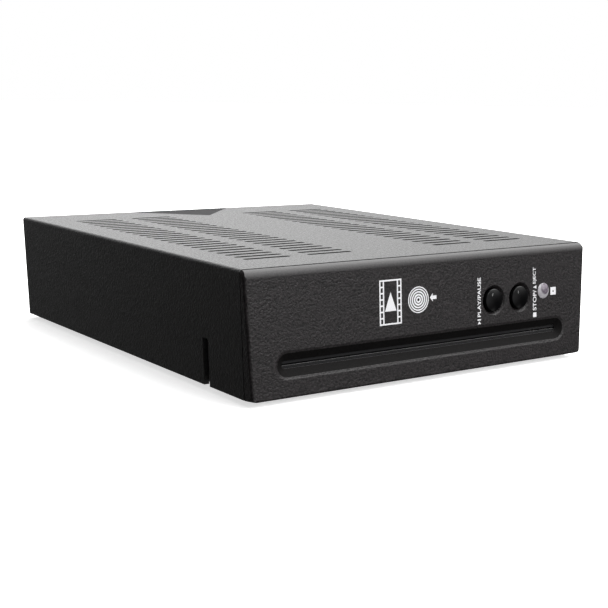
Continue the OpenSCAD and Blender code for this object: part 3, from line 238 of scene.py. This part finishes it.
def soft(name, colour, rough, sheen=0.0, size=0.0004, depth=0.00006):
    """Felt or rubber."""
    m = Nodes(name, colour, rough, specular=0.3)
    fibres = m.noise(size, detail=5, roughness=0.75)
    m.bump(fibres, depth)
    m.tint(m.ramp(fibres, 0.3, 0.7), 0.25)
    m.set("Sheen Weight", sheen)
    m.set("Sheen Roughness", 0.4)
    return m


def clear(name, colour, rough=0.08, transmission=0.7):
    """Clear moulding with faint flow marks."""
    m = Nodes(name, colour, rough)
    m.set("Transmission Weight", transmission)
    m.set("IOR", 1.49)
    m.bump(m.noise(0.006, detail=1), 0.00002)
    m.tint(m.ramp(m.noise(0.001, detail=3), 0.3, 0.7), 0.05)
    return m


def cover_look():
    """Crinkled black paint; the walls inside the vents turn dead matt and near-black, the near-black being
    painted shade.
    """
    m = Nodes("cover_grain_and_vent_shade", (0.015, 0.015, 0.015), 0.42)
    crinkle = m.noise(0.0009, detail=3, roughness=0.6)
    m.bump(crinkle, 0.00030)
    x, _, z = m.axes()
    below_face = m.ramp(z, TOP_Z - EDGE / 2, TOP_Z - EDGE * 1.5)
    among_vents = m.ramp(m.math("ABSOLUTE", x), VENT_X, VENT_X - 1 * MM)
    inner = m.math("MULTIPLY", below_face, among_vents)
    paint = m.shades(m.ramp(crinkle, 0.35, 0.65), 0.6, 1.4)
    # Painted shade: the walls inside the vents take a near-black colour in place of the paint
    m.blend("Base Color", inner, paint, (0.001, 0.001, 0.001))
    m.blend("Roughness", inner, m.ramp(crinkle, 0.25, 0.75, 0.28, 0.56), 0.95)
    return m


def window_look():
    """Milky lens with a painted highlight on its rim, low on the left."""
    m = Nodes("window_lens", (0.30, 0.26, 0.31), 0.10)
    m.set("Transmission Weight", 0.4)
    m.set("IOR", 1.49)
    # Painted highlight: a pale crescent on the lens rim, low on the left
    rim = m.ramp(m.from_axis(WINDOW_X + 0.5 * MM, WINDOW_Z + 0.9 * MM), 1.9 * MM, 2.5 * MM)
    cloud = m.mix(m.ramp(m.noise(0.0012), 0.35, 0.65), (0.17, 0.14, 0.18), (0.42, 0.37, 0.43))
    m.blend("Base Color", rim, cloud, (0.80, 0.78, 0.82))
    m.bump(m.noise(0.006, detail=1), 0.00002)
    return m


def bezel_look():
    """The moulded front: an eroded grain that ends at the smooth top edge."""
    m = Nodes("bezel_grain", (0.0112, 0.0090, 0.0097), 0.38, specular=0.42)
    fine = m.noise(0.0008, detail=3, roughness=0.6)
    m.bump(fine, 0.00030, m.ramp(m.axes()[2], BAND_Z, BAND_Z - 0.6 * MM, 0.08, 1.0))
    m.link(m.shades(m.ramp(fine, 0.36, 0.64), 0.1, 1.9), m.shader.inputs["Base Color"])
    m.vary_rough(fine, 0.08)
    return m


def phono_look(place, colour):
    """Nickel barrel with a coloured insulator inside its rim and a coloured collar at the panel."""
    m = Nodes("phono_socket_%d" % (place + 2), colour, 0.3)
    across = m.from_axis(PHONO_X + place * PHONO_PITCH, JACK_Z)
    rim = m.ramp(across, 0.70 * PHONO_R, 0.72 * PHONO_R)
    past_collar = m.ramp(m.axes()[1], REAR_Y + COLLAR_L, REAR_Y + COLLAR_L + EDGE)
    nickel = m.math("MULTIPLY", rim, past_collar)
    bore = m.ramp(across, PHONO_BORE_R + 2 * EDGE, PHONO_BORE_R + EDGE)
    plain = m.shades(m.ramp(m.noise(0.0007, detail=4), 0.3, 0.7), 0.9, 1)
    m.blend("Base Color", nickel, plain, (0.60, 0.59, 0.55))
    inner = m.mix(bore, (0, 0, 0), (1, 1, 1))
    m.link(m.math("MAXIMUM", nickel, inner), m.shader.inputs["Metallic"])
    m.blend("Roughness", nickel, m.ramp(m.noise(0.001, detail=5), 0.3, 0.7, 0.26, 0.36), 0.2)
    m.bump(m.noise(0.0006, detail=3, stretch=(0.1, 1, 0.1)), 0.00001)
    return m


def power_socket_look():
    """Black moulding round a bright pin."""
    m = Nodes("power_socket", (0.012, 0.012, 0.013), 0.32)
    pin = m.ramp(m.from_axis(DC_X, DC_Z), DC_PIN_R + 2 * EDGE, DC_PIN_R + EDGE)
    plain = m.mix(m.ramp(m.noise(0.001, detail=4), 0.3, 0.7), (0.010, 0.010, 0.011), (0.014, 0.014, 0.015))
    m.blend("Base Color", pin, plain, (0.66, 0.64, 0.58))
    m.link(pin, m.shader.inputs["Metallic"])
    m.blend("Roughness", pin, m.ramp(m.noise(0.0008, detail=5), 0.3, 0.7, 0.28, 0.38), 0.18)
    m.bump(m.noise(0.0007, detail=3), 0.00001)
    return m


def board_look():
    """Solder mask, lighter and raised over its copper tracks."""
    m = Nodes("solder_mask", (0.016, 0.085, 0.034), 0.32)
    bricks = m.new("ShaderNodeTexBrick", offset=0.37, squash=0.6, squash_frequency=3)
    bricks.inputs["Scale"].default_value = 160
    bricks.inputs["Mortar Size"].default_value = 0.028
    bricks.inputs["Color1"].default_value = (0.016, 0.085, 0.034, 1)
    bricks.inputs["Color2"].default_value = (0.012, 0.070, 0.028, 1)
    bricks.inputs["Mortar"].default_value = (0.030, 0.150, 0.060, 1)
    m.link(m.place, bricks.inputs["Vector"])
    m.link(bricks.outputs["Color"], m.shader.inputs["Base Color"])
    m.bump(bricks.outputs["Fac"], 0.00003)
    m.vary_rough(m.noise(0.001, detail=3), 0.06)
    return m


LOOKS = {
    "cover": cover_look(),
    "bezel": bezel_look(),
    "panel": moulded("panel_matt", (0.012, 0.012, 0.013), 0.70, 0.0004, 0.00004, specular=0.12),
    "gloss": polished("gloss_black", (0.0015, 0.0015, 0.0018), 0.10, specular=0.20),
    "socket": polished("socket_black", (0.014, 0.014, 0.015), 0.28),
    "felt": soft("black_felt", (0.010, 0.010, 0.011), 0.95, sheen=0.4),
    "rubber": soft("black_rubber", (0.018, 0.018, 0.018), 0.72, size=0.0007, depth=0.00003),
    "window": window_look(),
    "tray": brushed("zinc_sheet", (0.60, 0.61, 0.63), 0.34),
    "sheet": brushed("pressed_sheet", (0.56, 0.57, 0.59), 0.38, along=(40, 1, 40)),
    "screw": brushed("screw_zinc", (0.60, 0.58, 0.54), 0.30, along=(1, 1, 30), size=0.004),
    "can": brushed("motor_can", (0.62, 0.62, 0.63), 0.26, along=(1, 30, 30)),
    "shaft": brushed("ground_steel", (0.66, 0.66, 0.68), 0.14, along=(1, 60, 60), size=0.01),
    "brass": brushed("turned_brass", (0.68, 0.50, 0.22), 0.26, along=(30, 30, 1), size=0.008),
    "alu": brushed("extruded_alu", (0.66, 0.67, 0.69), 0.42, along=(40, 1, 40)),
    "chip": moulded("chip_black", (0.018, 0.018, 0.019), 0.55, 0.0003, 0.00002),
    "sleeve": polished("can_sleeve", (0.020, 0.032, 0.075), 0.30),
    "acetal": moulded("natural_acetal", (0.68, 0.66, 0.58), 0.42, 0.0008, 0.00001, spread=0.04),
    "dark": moulded("dark_moulding", (0.035, 0.036, 0.040), 0.50, 0.0005, 0.00003),
    "lens": polished("lens_carrier", (0.10, 0.06, 0.16), 0.18, coat=0.6),
    "led": clear("clear_led", (0.80, 0.84, 0.92)),
    "filter": polished("dark_filter", (0.030, 0.016, 0.040), 0.16, coat=0.5),
    "cable": moulded("flat_cable", (0.62, 0.62, 0.58), 0.40, 0.001, 0.00002, spread=0.05),
    # Painted shade: a near-black skin for the slopes of the slot's recess
    "slot_shade": moulded("slot_shade_skin", (0.0045, 0.0040, 0.0040), 0.66, 0.0007, 0.00005,
                     specular=0.10, spread=0.5),
    # Painted shade: near-black crosses on the screw heads in place of deep cross recesses
    "recess": moulded("recess_black", (0.012, 0.012, 0.013), 0.7, 0.0003, 0.00002),
    "ink": moulded("white_ink", (0.88, 0.88, 0.90), 0.55, 0.0003, 0.00001, spread=0.05),
    "board": board_look(),
    "dc": power_socket_look(),
    "yellow": phono_look(-1, (0.78, 0.50, 0.02)),
    "white": phono_look(0, (0.76, 0.76, 0.73)),
    "red": phono_look(1, (0.55, 0.015, 0.015)),
}

WEARS = {
    "cover": ["top_cover"],
    "bezel": ["front_bezel"],
    "panel": ["rear_panel"],
    "gloss": ["play_button", "stop_button", "power_rocker"],
    "socket": ["av_jack_block", "rocker_frame"],
    "dc": ["dc_jack"],
    "felt": ["upper_felt", "lower_felt"],
    "rubber": ["rubber_feet", "rubber_dampers", "feed_roller"],
    "window": ["ir_window"],
    "tray": ["base_tray"],
    "sheet": ["loader_frame", "loader_top", "clamp_bridge", "traverse_frame", "cam_slider"],
    "screw": ["case_screws", "small_screws", "damper_screws"],
    "can": ["load_motor", "spindle_motor", "sled_motor"],
    "shaft": ["gear_axles", "roller_shaft", "guide_rods", "lead_screw"],
    "brass": ["board_standoffs", "motor_pinion"],
    "alu": ["heatsink"],
    "chip": ["board_components", "tact_switches"],
    "sleeve": ["capacitors"],
    "acetal": ["disc_guide", "roller_bushes", "play_plunger", "stop_plunger", "roller_gear", "idler_gear",
               "reduction_gear", "clamper", "entry_lever_left", "entry_lever_right", "eject_lever"],
    "dark": ["pickup_sled", "turntable"],
    "lens": ["lens_holder"],
    "led": ["status_led"],
    "filter": ["ir_receiver"],
    "cable": ["front_ribbon"],
    "yellow": ["video_jack"],
    "white": ["left_jack"],
    "red": ["right_jack"],
    "board": ["main_board", "front_board"],
}


def wear(obj, look):
    material = LOOKS[look].material
    if not obj.material_slots:
        obj.data.materials.append(material)
    for each in obj.material_slots:
        each.material = material


def dress_nodes():
    for look, names in WEARS.items():
        for name in names:
            wear(node[name], look)


# ---------------------------------------------------------------- building pieces, in millimetres

FRONT_Y, BASE_Z, RAKE, CASE_H = -98 * MM, 2 * MM, 3 * MM, 44 * MM
LEAN = math.atan(RAKE / CASE_H)
# X along the front, Y up its sloping face and Z out of it
FACE = Matrix(((1, 0, 0, 0), (0, math.sin(LEAN), -math.cos(LEAN), FRONT_Y),
               (0, math.cos(LEAN), math.sin(LEAN), BASE_Z), (0, 0, 0, 1)))
# Ink reaches from just inside the face to just above it
INK_LOW, INK_HIGH = -0.01, 0.03


def up_face(z):
    """Distance along the sloping face at height z, both in millimetres."""
    return (z - BASE_Z / MM) / math.cos(LEAN)


def keep(name, bm, matrix, look, body, smooth=False):
    """Turns millimetre geometry into a piece that rides on a body."""
    bmesh.ops.recalc_face_normals(bm, faces=bm.faces)
    mesh = bpy.data.meshes.new(name)
    bm.to_mesh(mesh)
    bm.free()
    mesh.transform(matrix @ Matrix.Scale(MM, 4))
    if smooth:
        mesh.shade_smooth()
    piece = bpy.data.objects.new(name, mesh)
    bpy.context.scene.collection.objects.link(piece)
    mesh.materials.append(LOOKS[look].material)
    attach(piece, body)
    return piece


def keep_print(name, bm):
    return keep(name, bm, FACE, "ink", "casing")


def plate(bm, outline, low=INK_LOW, high=INK_HIGH):
    """Thin plate with the given outline."""
    under = [bm.verts.new((x, y, low)) for x, y in outline]
    over = [bm.verts.new((x, y, high)) for x, y in outline]
    bm.faces.new(under[::-1])
    bm.faces.new(over)
    for i in range(len(outline)):
        j = (i + 1) % len(outline)
        bm.faces.new((under[i], under[j], over[j], over[i]))


def circle(bm, x, y, radius, level, sides=64):
    """Loop of points round a centre, or the centre alone."""
    if radius == 0:
        return [bm.verts.new((x, y, level))]
    turn = [2 * math.pi * i / sides for i in range(sides)]
    return [bm.verts.new((x + radius * math.cos(t), y + radius * math.sin(t), level)) for t in turn]


def skin(bm, loops):
    """Faces from each loop to the next, where a single point counts as a loop."""
    for a, b in zip(loops, loops[1:]):
        sides = max(len(a), len(b))
        for i in range(sides):
            j = (i + 1) % sides
            corners = (a[i % len(a)], a[j % len(a)], b[j % len(b)], b[i % len(b)])
            bm.faces.new(list(dict.fromkeys(corners)))


def ring(bm, x, y, inner, outer):
    """Thin flat ring of ink."""
    section = ((inner, INK_LOW), (outer, INK_LOW), (outer, INK_HIGH), (inner, INK_HIGH))
    loops = [circle(bm, x, y, radius, level) for radius, level in section]
    skin(bm, loops + loops[:1])


def square(x0, y0, x1, y1):
    return [(x0, y0), (x1, y0), (x1, y1), (x0, y1)]


# ---------------------------------------------------------------- prints on the front

WORD_BOLD = 0.018
PLAY_LEFT, PLAY_RIGHT = 22.1, 23.8
STOP_LEFT, STOP_RIGHT = 51.1, 53.0
# Name, text, left, right, lowest and highest point of each print
WORDS = (
    ("print_play_pause", "PLAY/PAUSE", PLAY_LEFT, PLAY_RIGHT, 21.4, 36.1),
    ("print_stop", "STOP/", STOP_LEFT, STOP_RIGHT, 21.3, 29.2),
    ("print_eject", "EJECT", STOP_LEFT, STOP_RIGHT, 31.7, 38.0),
)
# Height that the play triangle and the stop square stand on; the triangle and its bar are measured from it
SIGN_Z = 18.7
TRIANGLE_H, BAR_LOW, BAR_HIGH = 1.1, 1.35, 1.85
STOP_SIDE = 1.8
EJECT_SIGN_Z = (29.7, 30.35, 31.0)
SQUARE_X, SQUARE_Z, SQUARE_R = 62.2, 28.1, 1.5
HOLE_R, HOLE_LOW, HOLE_HIGH = 0.35, -0.35, 0.15
DISC_X, DISC_Z = -6.6, 30.4
DISC_RINGS = ((0.55, 1.15), (1.5, 2.15), (2.55, 3.1), (3.5, 4.0), (4.4, 4.8))
ARROW_TIP_X, ARROW_NECK_X, ARROW_END_X, ARROW_Z = -1.2, 0.1, 1.9, 30.7
ARROW_HALF, SHAFT_HALF = 1.5, 0.65
FILM_LEFT, FILM_RIGHT, FILM_LOW, FILM_HIGH = -24.4, -14.4, 22.6, 38.6
FILM_LINE, FILM_HOLE, FILM_HOLES = 0.55, 1.0, 7
FILM_PLAY = ((-22.0, -3.2), (-16.8, -3.2), (-19.4, 3.6))


def add_words(name, text, left, right, low, high):
    """Print that reads upwards, its letters' tops to the left, fitted to a column of the face."""
    curve = bpy.data.curves.new(name, "FONT")
    curve.body = text
    curve.offset = WORD_BOLD
    curve.extrude = 0.1
    curve.resolution_u = 4
    maker = bpy.data.objects.new(name + "_maker", curve)
    bpy.context.scene.collection.objects.link(maker)
    mesh = bpy.data.meshes.new_from_object(maker.evaluated_get(bpy.context.evaluated_depsgraph_get()))
    bpy.data.objects.remove(maker)
    bpy.data.curves.remove(curve)
    bm = bmesh.new()
    bm.from_mesh(mesh)
    bpy.data.meshes.remove(mesh)
    along = [v.co.x for v in bm.verts]
    tall = [v.co.y for v in bm.verts]
    low, high = up_face(low), up_face(high)
    for v in bm.verts:
        far = (v.co.x - min(along)) / (max(along) - min(along))
        rise = (v.co.y - min(tall)) / (max(tall) - min(tall))
        level = INK_HIGH if v.co.z > 0 else INK_LOW
        v.co = Vector((right + (left - right) * rise, low + (high - low) * far, level))
    keep_print(name, bm)


def add_play_mark():
    """Triangle and bar below the words."""
    bm = bmesh.new()
    low = up_face(SIGN_Z)
    plate(bm, [(PLAY_LEFT, low), (PLAY_RIGHT, low), ((PLAY_LEFT + PLAY_RIGHT) / 2, low + TRIANGLE_H)])
    plate(bm, square(PLAY_LEFT, low + BAR_LOW, PLAY_RIGHT, low + BAR_HIGH))
    keep_print("mark_play", bm)


def add_stop_mark():
    """Square below the words and triangle between them."""
    bm = bmesh.new()
    low = up_face(SIGN_Z)
    plate(bm, square(STOP_RIGHT - STOP_SIDE, low, STOP_RIGHT, low + STOP_SIDE))
    right_low, tip, right_high = (up_face(z) for z in EJECT_SIGN_Z)
    plate(bm, [(STOP_LEFT, tip), (STOP_RIGHT, right_low), (STOP_RIGHT, right_high)])
    keep_print("mark_stop", bm)


def add_square_mark():
    """Square with a small hole."""
    bm = bmesh.new()
    middle = up_face(SQUARE_Z)
    sides = ((-SQUARE_R, -SQUARE_R, SQUARE_R, HOLE_LOW), (-SQUARE_R, HOLE_HIGH, SQUARE_R, SQUARE_R),
             (-SQUARE_R, HOLE_LOW, -HOLE_R, HOLE_HIGH), (HOLE_R, HOLE_LOW, SQUARE_R, HOLE_HIGH))
    for x0, y0, x1, y1 in sides:
        plate(bm, square(SQUARE_X + x0, middle + y0, SQUARE_X + x1, middle + y1))
    keep_print("mark_square", bm)


def add_disc_mark():
    bm = bmesh.new()
    for inner, outer in DISC_RINGS:
        ring(bm, DISC_X, up_face(DISC_Z), inner, outer)
    keep_print("mark_disc", bm)


def add_arrow_mark():
    bm = bmesh.new()
    middle = up_face(ARROW_Z)
    low, high = middle - ARROW_HALF, middle + ARROW_HALF
    plate(bm, [(ARROW_TIP_X, middle), (ARROW_NECK_X, low), (ARROW_NECK_X, high)])
    plate(bm, square(ARROW_NECK_X, middle - SHAFT_HALF, ARROW_END_X, middle + SHAFT_HALF))
    keep_print("mark_arrow", bm)


def add_film_mark():
    """Plain film frame with a triangle, the usual sign for pictures."""
    bm = bmesh.new()
    y0, y1 = up_face(FILM_LOW), up_face(FILM_HIGH)
    step = (y1 - y0 - FILM_LINE) / FILM_HOLES
    strip = FILM_LINE + FILM_HOLE
    for x in (FILM_LEFT, FILM_RIGHT - FILM_LINE, FILM_LEFT + strip, FILM_RIGHT - FILM_LINE - strip):
        plate(bm, square(x, y0, x + FILM_LINE, y1))
    for i in range(FILM_HOLES + 1):
        y = y0 + i * step
        for x in (FILM_LEFT + FILM_LINE, FILM_RIGHT - strip):
            plate(bm, square(x, y, x + FILM_HOLE, y + FILM_LINE))
    inset = strip + FILM_LINE
    for y in (y0, y1 - FILM_LINE):
        plate(bm, square(FILM_LEFT + inset, y, FILM_RIGHT - inset, y + FILM_LINE))
    plate(bm, [(x, (y0 + y1) / 2 + y) for x, y in FILM_PLAY])
    keep_print("mark_film", bm)


def add_prints():
    for each in WORDS:
        add_words(*each)
    add_play_mark()
    add_stop_mark()
    add_square_mark()
    add_disc_mark()
    add_arrow_mark()
    add_film_mark()


# ---------------------------------------------------------------- painted shade in the slot

SLOT_Z, SLOT_L, SLOT_H, SLIT_H = 13.2, 135.5, 8.3, 2.6
SLOT_DEPTH, LIP_DEPTH = 1.9, 0.28
SHADE_SKIN_HALF, SHADE_SKIN_STEPS = 0.03, 4
# How far the skin of painted shade keeps from the lip and from the slit, first across the slot and then into
# it
LIP_GAP, SLIT_GAP = (0.1, 0.06), (0.05, 0.03)


def slot_loop(bm, from_middle, depth, sides=32):
    """Loop round the slot at one distance from its middle line."""
    reach = (SLOT_L - SLOT_H) / 2
    turn = [math.pi * (i / sides - 0.5) for i in range(sides + 1)]
    ends = [(reach + from_middle * math.cos(t), from_middle * math.sin(t)) for t in turn]
    ends += [(-x, -y) for x, y in ends]
    return [bm.verts.new((x, up_face(SLOT_Z) + y, -depth)) for x, y in ends]


def add_slot_shade_skin():
    """Near-black skin on the slopes that lead to the slit: painted shade inside the recess."""
    outer = (SLOT_H / 2 - LIP_GAP[0], LIP_DEPTH + LIP_GAP[1])
    inner = (SLIT_H / 2 + SLIT_GAP[0], SLOT_DEPTH - SLIT_GAP[1])
    steps = [k / SHADE_SKIN_STEPS for k in range(SHADE_SKIN_STEPS + 1)]
    slope = [[a + part * (b - a) for a, b in zip(outer, inner)] for part in steps]
    bm = bmesh.new()
    loops = [slot_loop(bm, from_middle, depth - SHADE_SKIN_HALF) for from_middle, depth in slope]
    loops += [slot_loop(bm, from_middle, depth + SHADE_SKIN_HALF) for from_middle, depth in slope[::-1]]
    skin(bm, loops + loops[:1])
    keep("slot_shade_skin", bm, FACE, "slot_shade", "casing")


# ---------------------------------------------------------------- caps, screws and notch

BUTTON_X, BUTTON_PITCH, BUTTON_Z = 30.4, 13.6, 27.1
CAP_R, CAP_PROUD, CAP_RISE, CAP_RIM, CAP_STEPS = 4.28, 0.2, 0.75, 0.3, 12
CROSS_R, CROSS_HALF, CROSS_SINK, CROSS_HIGH = 1.35, 0.32, 0.005, 0.03
PANEL_SCREW_X, PANEL_SCREW_Z, HEAD_REAR_Y = 62.4, (39, 6.6), 93.4
BOSS_X, BOSS_Y, HEAD_Z = 71.4, (-45, 83), 1.2
NOTCH_W, NOTCH_L, NOTCH_GAP = 54.4, 28.9, 0.12
TONGUE_Z, NOTCH_TOP_Z = 45.69, 45.98
# Drawing planes whose Z points out of the rear panel, with Y up, and out of the underside, with Y forwards
REAR = Matrix(((-1, 0, 0, 0), (0, 0, 1, (HEAD_REAR_Y - CROSS_SINK) * MM), (0, 1, 0, 0), (0, 0, 0, 1)))
UNDER = Matrix(((1, 0, 0, 0), (0, -1, 0, 0), (0, 0, -1, (HEAD_Z + CROSS_SINK) * MM), (0, 0, 0, 1)))


def add_caps():
    """Domed gloss faces on the two front buttons."""
    steps = [k / CAP_STEPS for k in range(CAP_STEPS + 1)]
    dome = [(CAP_R * part, CAP_PROUD + CAP_RISE * (1 - part ** 2)) for part in steps]
    dome.append((CAP_R, CAP_PROUD - CAP_RIM))
    for i, name in enumerate(("play", "stop")):
        bm = bmesh.new()
        x, y = BUTTON_X + i * BUTTON_PITCH, up_face(BUTTON_Z)
        skin(bm, [circle(bm, x, y, radius, level) for radius, level in dome])
        keep(name + "_cap_face", bm, FACE, "gloss", name + "_button", smooth=True)


def add_crosses(name, places, matrix):
    """Near-black crosses on the screw heads: painted shade standing in for their cross recesses."""
    bm = bmesh.new()
    for x, y in places:
        for a, b in ((CROSS_R, CROSS_HALF), (CROSS_HALF, CROSS_R)):
            plate(bm, square(x - a, y - b, x + a, y + b), 0, CROSS_HIGH)
    keep(name, bm, matrix, "recess", "casing")


def add_screw_crosses():
    under = [(x, -y) for x in (-BOSS_X, BOSS_X) for y in BOSS_Y]
    rear = [(x, z) for x in (PANEL_SCREW_X, -PANEL_SCREW_X) for z in PANEL_SCREW_Z]
    add_crosses("under_screw_crosses", under, UNDER)
    add_crosses("rear_screw_crosses", rear, REAR)


def add_notch_skin():
    """Raised skin that brings the dark tongue at the rear level with the cover."""
    bm = bmesh.new()
    rear = REAR_Y / MM
    half, front = NOTCH_W / 2 - NOTCH_GAP, rear - NOTCH_L + NOTCH_GAP * 1.4
    plate(bm, [(-half, rear), (0, front), (half, rear)], TONGUE_Z, NOTCH_TOP_Z)
    keep("notch_skin", bm, Matrix.Identity(4), "panel", "casing")


# ---------------------------------------------------------------- studio

# Direction, weight and sharpness of each soft glow that surrounds the part, and the even light under them
GLOWS = (
    ((0.53, 0.80, 0.25), 1.0, 5),
    ((0.27, 0.93, 0.30), 1.55, 12),
    ((0.05, -0.99, 0.05), 1.0, 8),
    ((-0.2, -0.6, 0.75), 0.18, 2),
    ((0.565, -0.43, 0.70), 5.0, 11),
    ((0.565, 0.15, 0.80), 2.0, 14),
    ((0.565, -0.60, -0.56), 0.9, 80),
)
EVEN = 0.05
# Name, place, what it points at, size, watts and turn about its own beam in degrees
LAMPS = (
    ("top_softbox", (0.9, 0.5, 2.0), (0, 0, 0), (2.4, 2.4), 54, 0),
    ("front_softbox", (0.2, -1.6, 1.1), (0, 0, 0.02), (0.9, 0.9), 10, 0),
    ("catch_light", (1.09, -1.70, 0.46), (0, 0, 0.02), (0.05, 0.26), 1.1, -42),
)
FLOOR_SIDE = 12
# The floor's own glow rises from the first distance to the second
FLOOR_NEAR, FLOOR_FAR, FLOOR_NEAR_GLOW, FLOOR_FAR_GLOW = 0.25, 0.9, 0.62, 1.1


def add_lamp(name, place, target, size, power, turn):
    data = bpy.data.lights.new(name, "AREA")
    data.shape = "RECTANGLE"
    data.size, data.size_y = size
    data.energy = power
    lamp = bpy.data.objects.new(name, data)
    bpy.context.scene.collection.objects.link(lamp)
    lamp.location = place
    lamp.rotation_euler = (Vector(target) - Vector(place)).to_track_quat("-Z", "Y").to_euler()
    lamp.rotation_euler.rotate_axis("Z", math.radians(turn))


def world_math(tree, kind, first, second):
    """Math on a value from the world's tree and a number or another value."""
    made = tree.nodes.new("ShaderNodeMath")
    made.operation = kind
    tree.links.new(first, made.inputs[0])
    if isinstance(second, (int, float)):
        made.inputs[1].default_value = second
    else:
        tree.links.new(second, made.inputs[1])
    return made.outputs[0]


def glow(tree, way, direction, weight, power):
    """Brightness that falls off round a direction."""
    dot = tree.nodes.new("ShaderNodeVectorMath")
    dot.operation = "DOT_PRODUCT"
    dot.inputs[1].default_value = Vector(direction).normalized()
    tree.links.new(way, dot.inputs[0])
    facing = world_math(tree, "MAXIMUM", dot.outputs["Value"], 0.0)
    return world_math(tree, "MULTIPLY", world_math(tree, "POWER", facing, power), weight)


def add_world():
    """White to the camera, a dim room with soft glows to the part."""
    world = bpy.data.worlds.new("studio")
    world.use_nodes = True
    tree = world.node_tree
    background = tree.nodes["Background"]
    background.inputs["Color"].default_value = (1, 1, 1, 1)
    way = tree.nodes.new("ShaderNodeTexCoord").outputs["Generated"]
    total = EVEN
    for each in GLOWS:
        total = world_math(tree, "ADD", glow(tree, way, *each), total)
    pick = tree.nodes.new("ShaderNodeMix")
    tree.links.new(tree.nodes.new("ShaderNodeLightPath").outputs["Is Camera Ray"], pick.inputs["Factor"])
    tree.links.new(total, pick.inputs[2])
    pick.inputs[3].default_value = 1.0
    tree.links.new(pick.outputs[0], background.inputs["Strength"])
    bpy.context.scene.world = world


def add_floor():
    mesh = bpy.data.meshes.new("floor")
    corners = [(x * FLOOR_SIDE, y * FLOOR_SIDE, 0) for x, y in ((-1, -1), (1, -1), (1, 1), (-1, 1))]
    mesh.from_pydata(corners, [], [(0, 1, 2, 3)])
    floor = bpy.data.objects.new("floor", mesh)
    bpy.context.scene.collection.objects.link(floor)
    m = Nodes("pale_floor", (0.95, 0.95, 0.95), 0.9, specular=0.0)
    m.tint(m.noise(0.5), 0.01)
    m.set("Emission Color", (1, 1, 1, 1))
    reach = m.new("ShaderNodeVectorMath", operation="LENGTH")
    m.link(m.place, reach.inputs[0])
    brighter = m.ramp(reach.outputs["Value"], FLOOR_NEAR, FLOOR_FAR, FLOOR_NEAR_GLOW, FLOOR_FAR_GLOW)
    m.link(brighter, m.shader.inputs["Emission Strength"])
    mesh.materials.append(m.material)
    floor.visible_glossy = False
    floor.visible_diffuse = False


def add_studio():
    bpy.context.scene.view_settings.view_transform = "Standard"
    add_world()
    add_floor()
    for each in LAMPS:
        add_lamp(*each)


# ---------------------------------------------------------------- the whole

dress_nodes()
add_prints()
add_slot_shade_skin()
add_caps()
add_screw_crosses()
add_notch_skin()
add_camera()
add_studio()
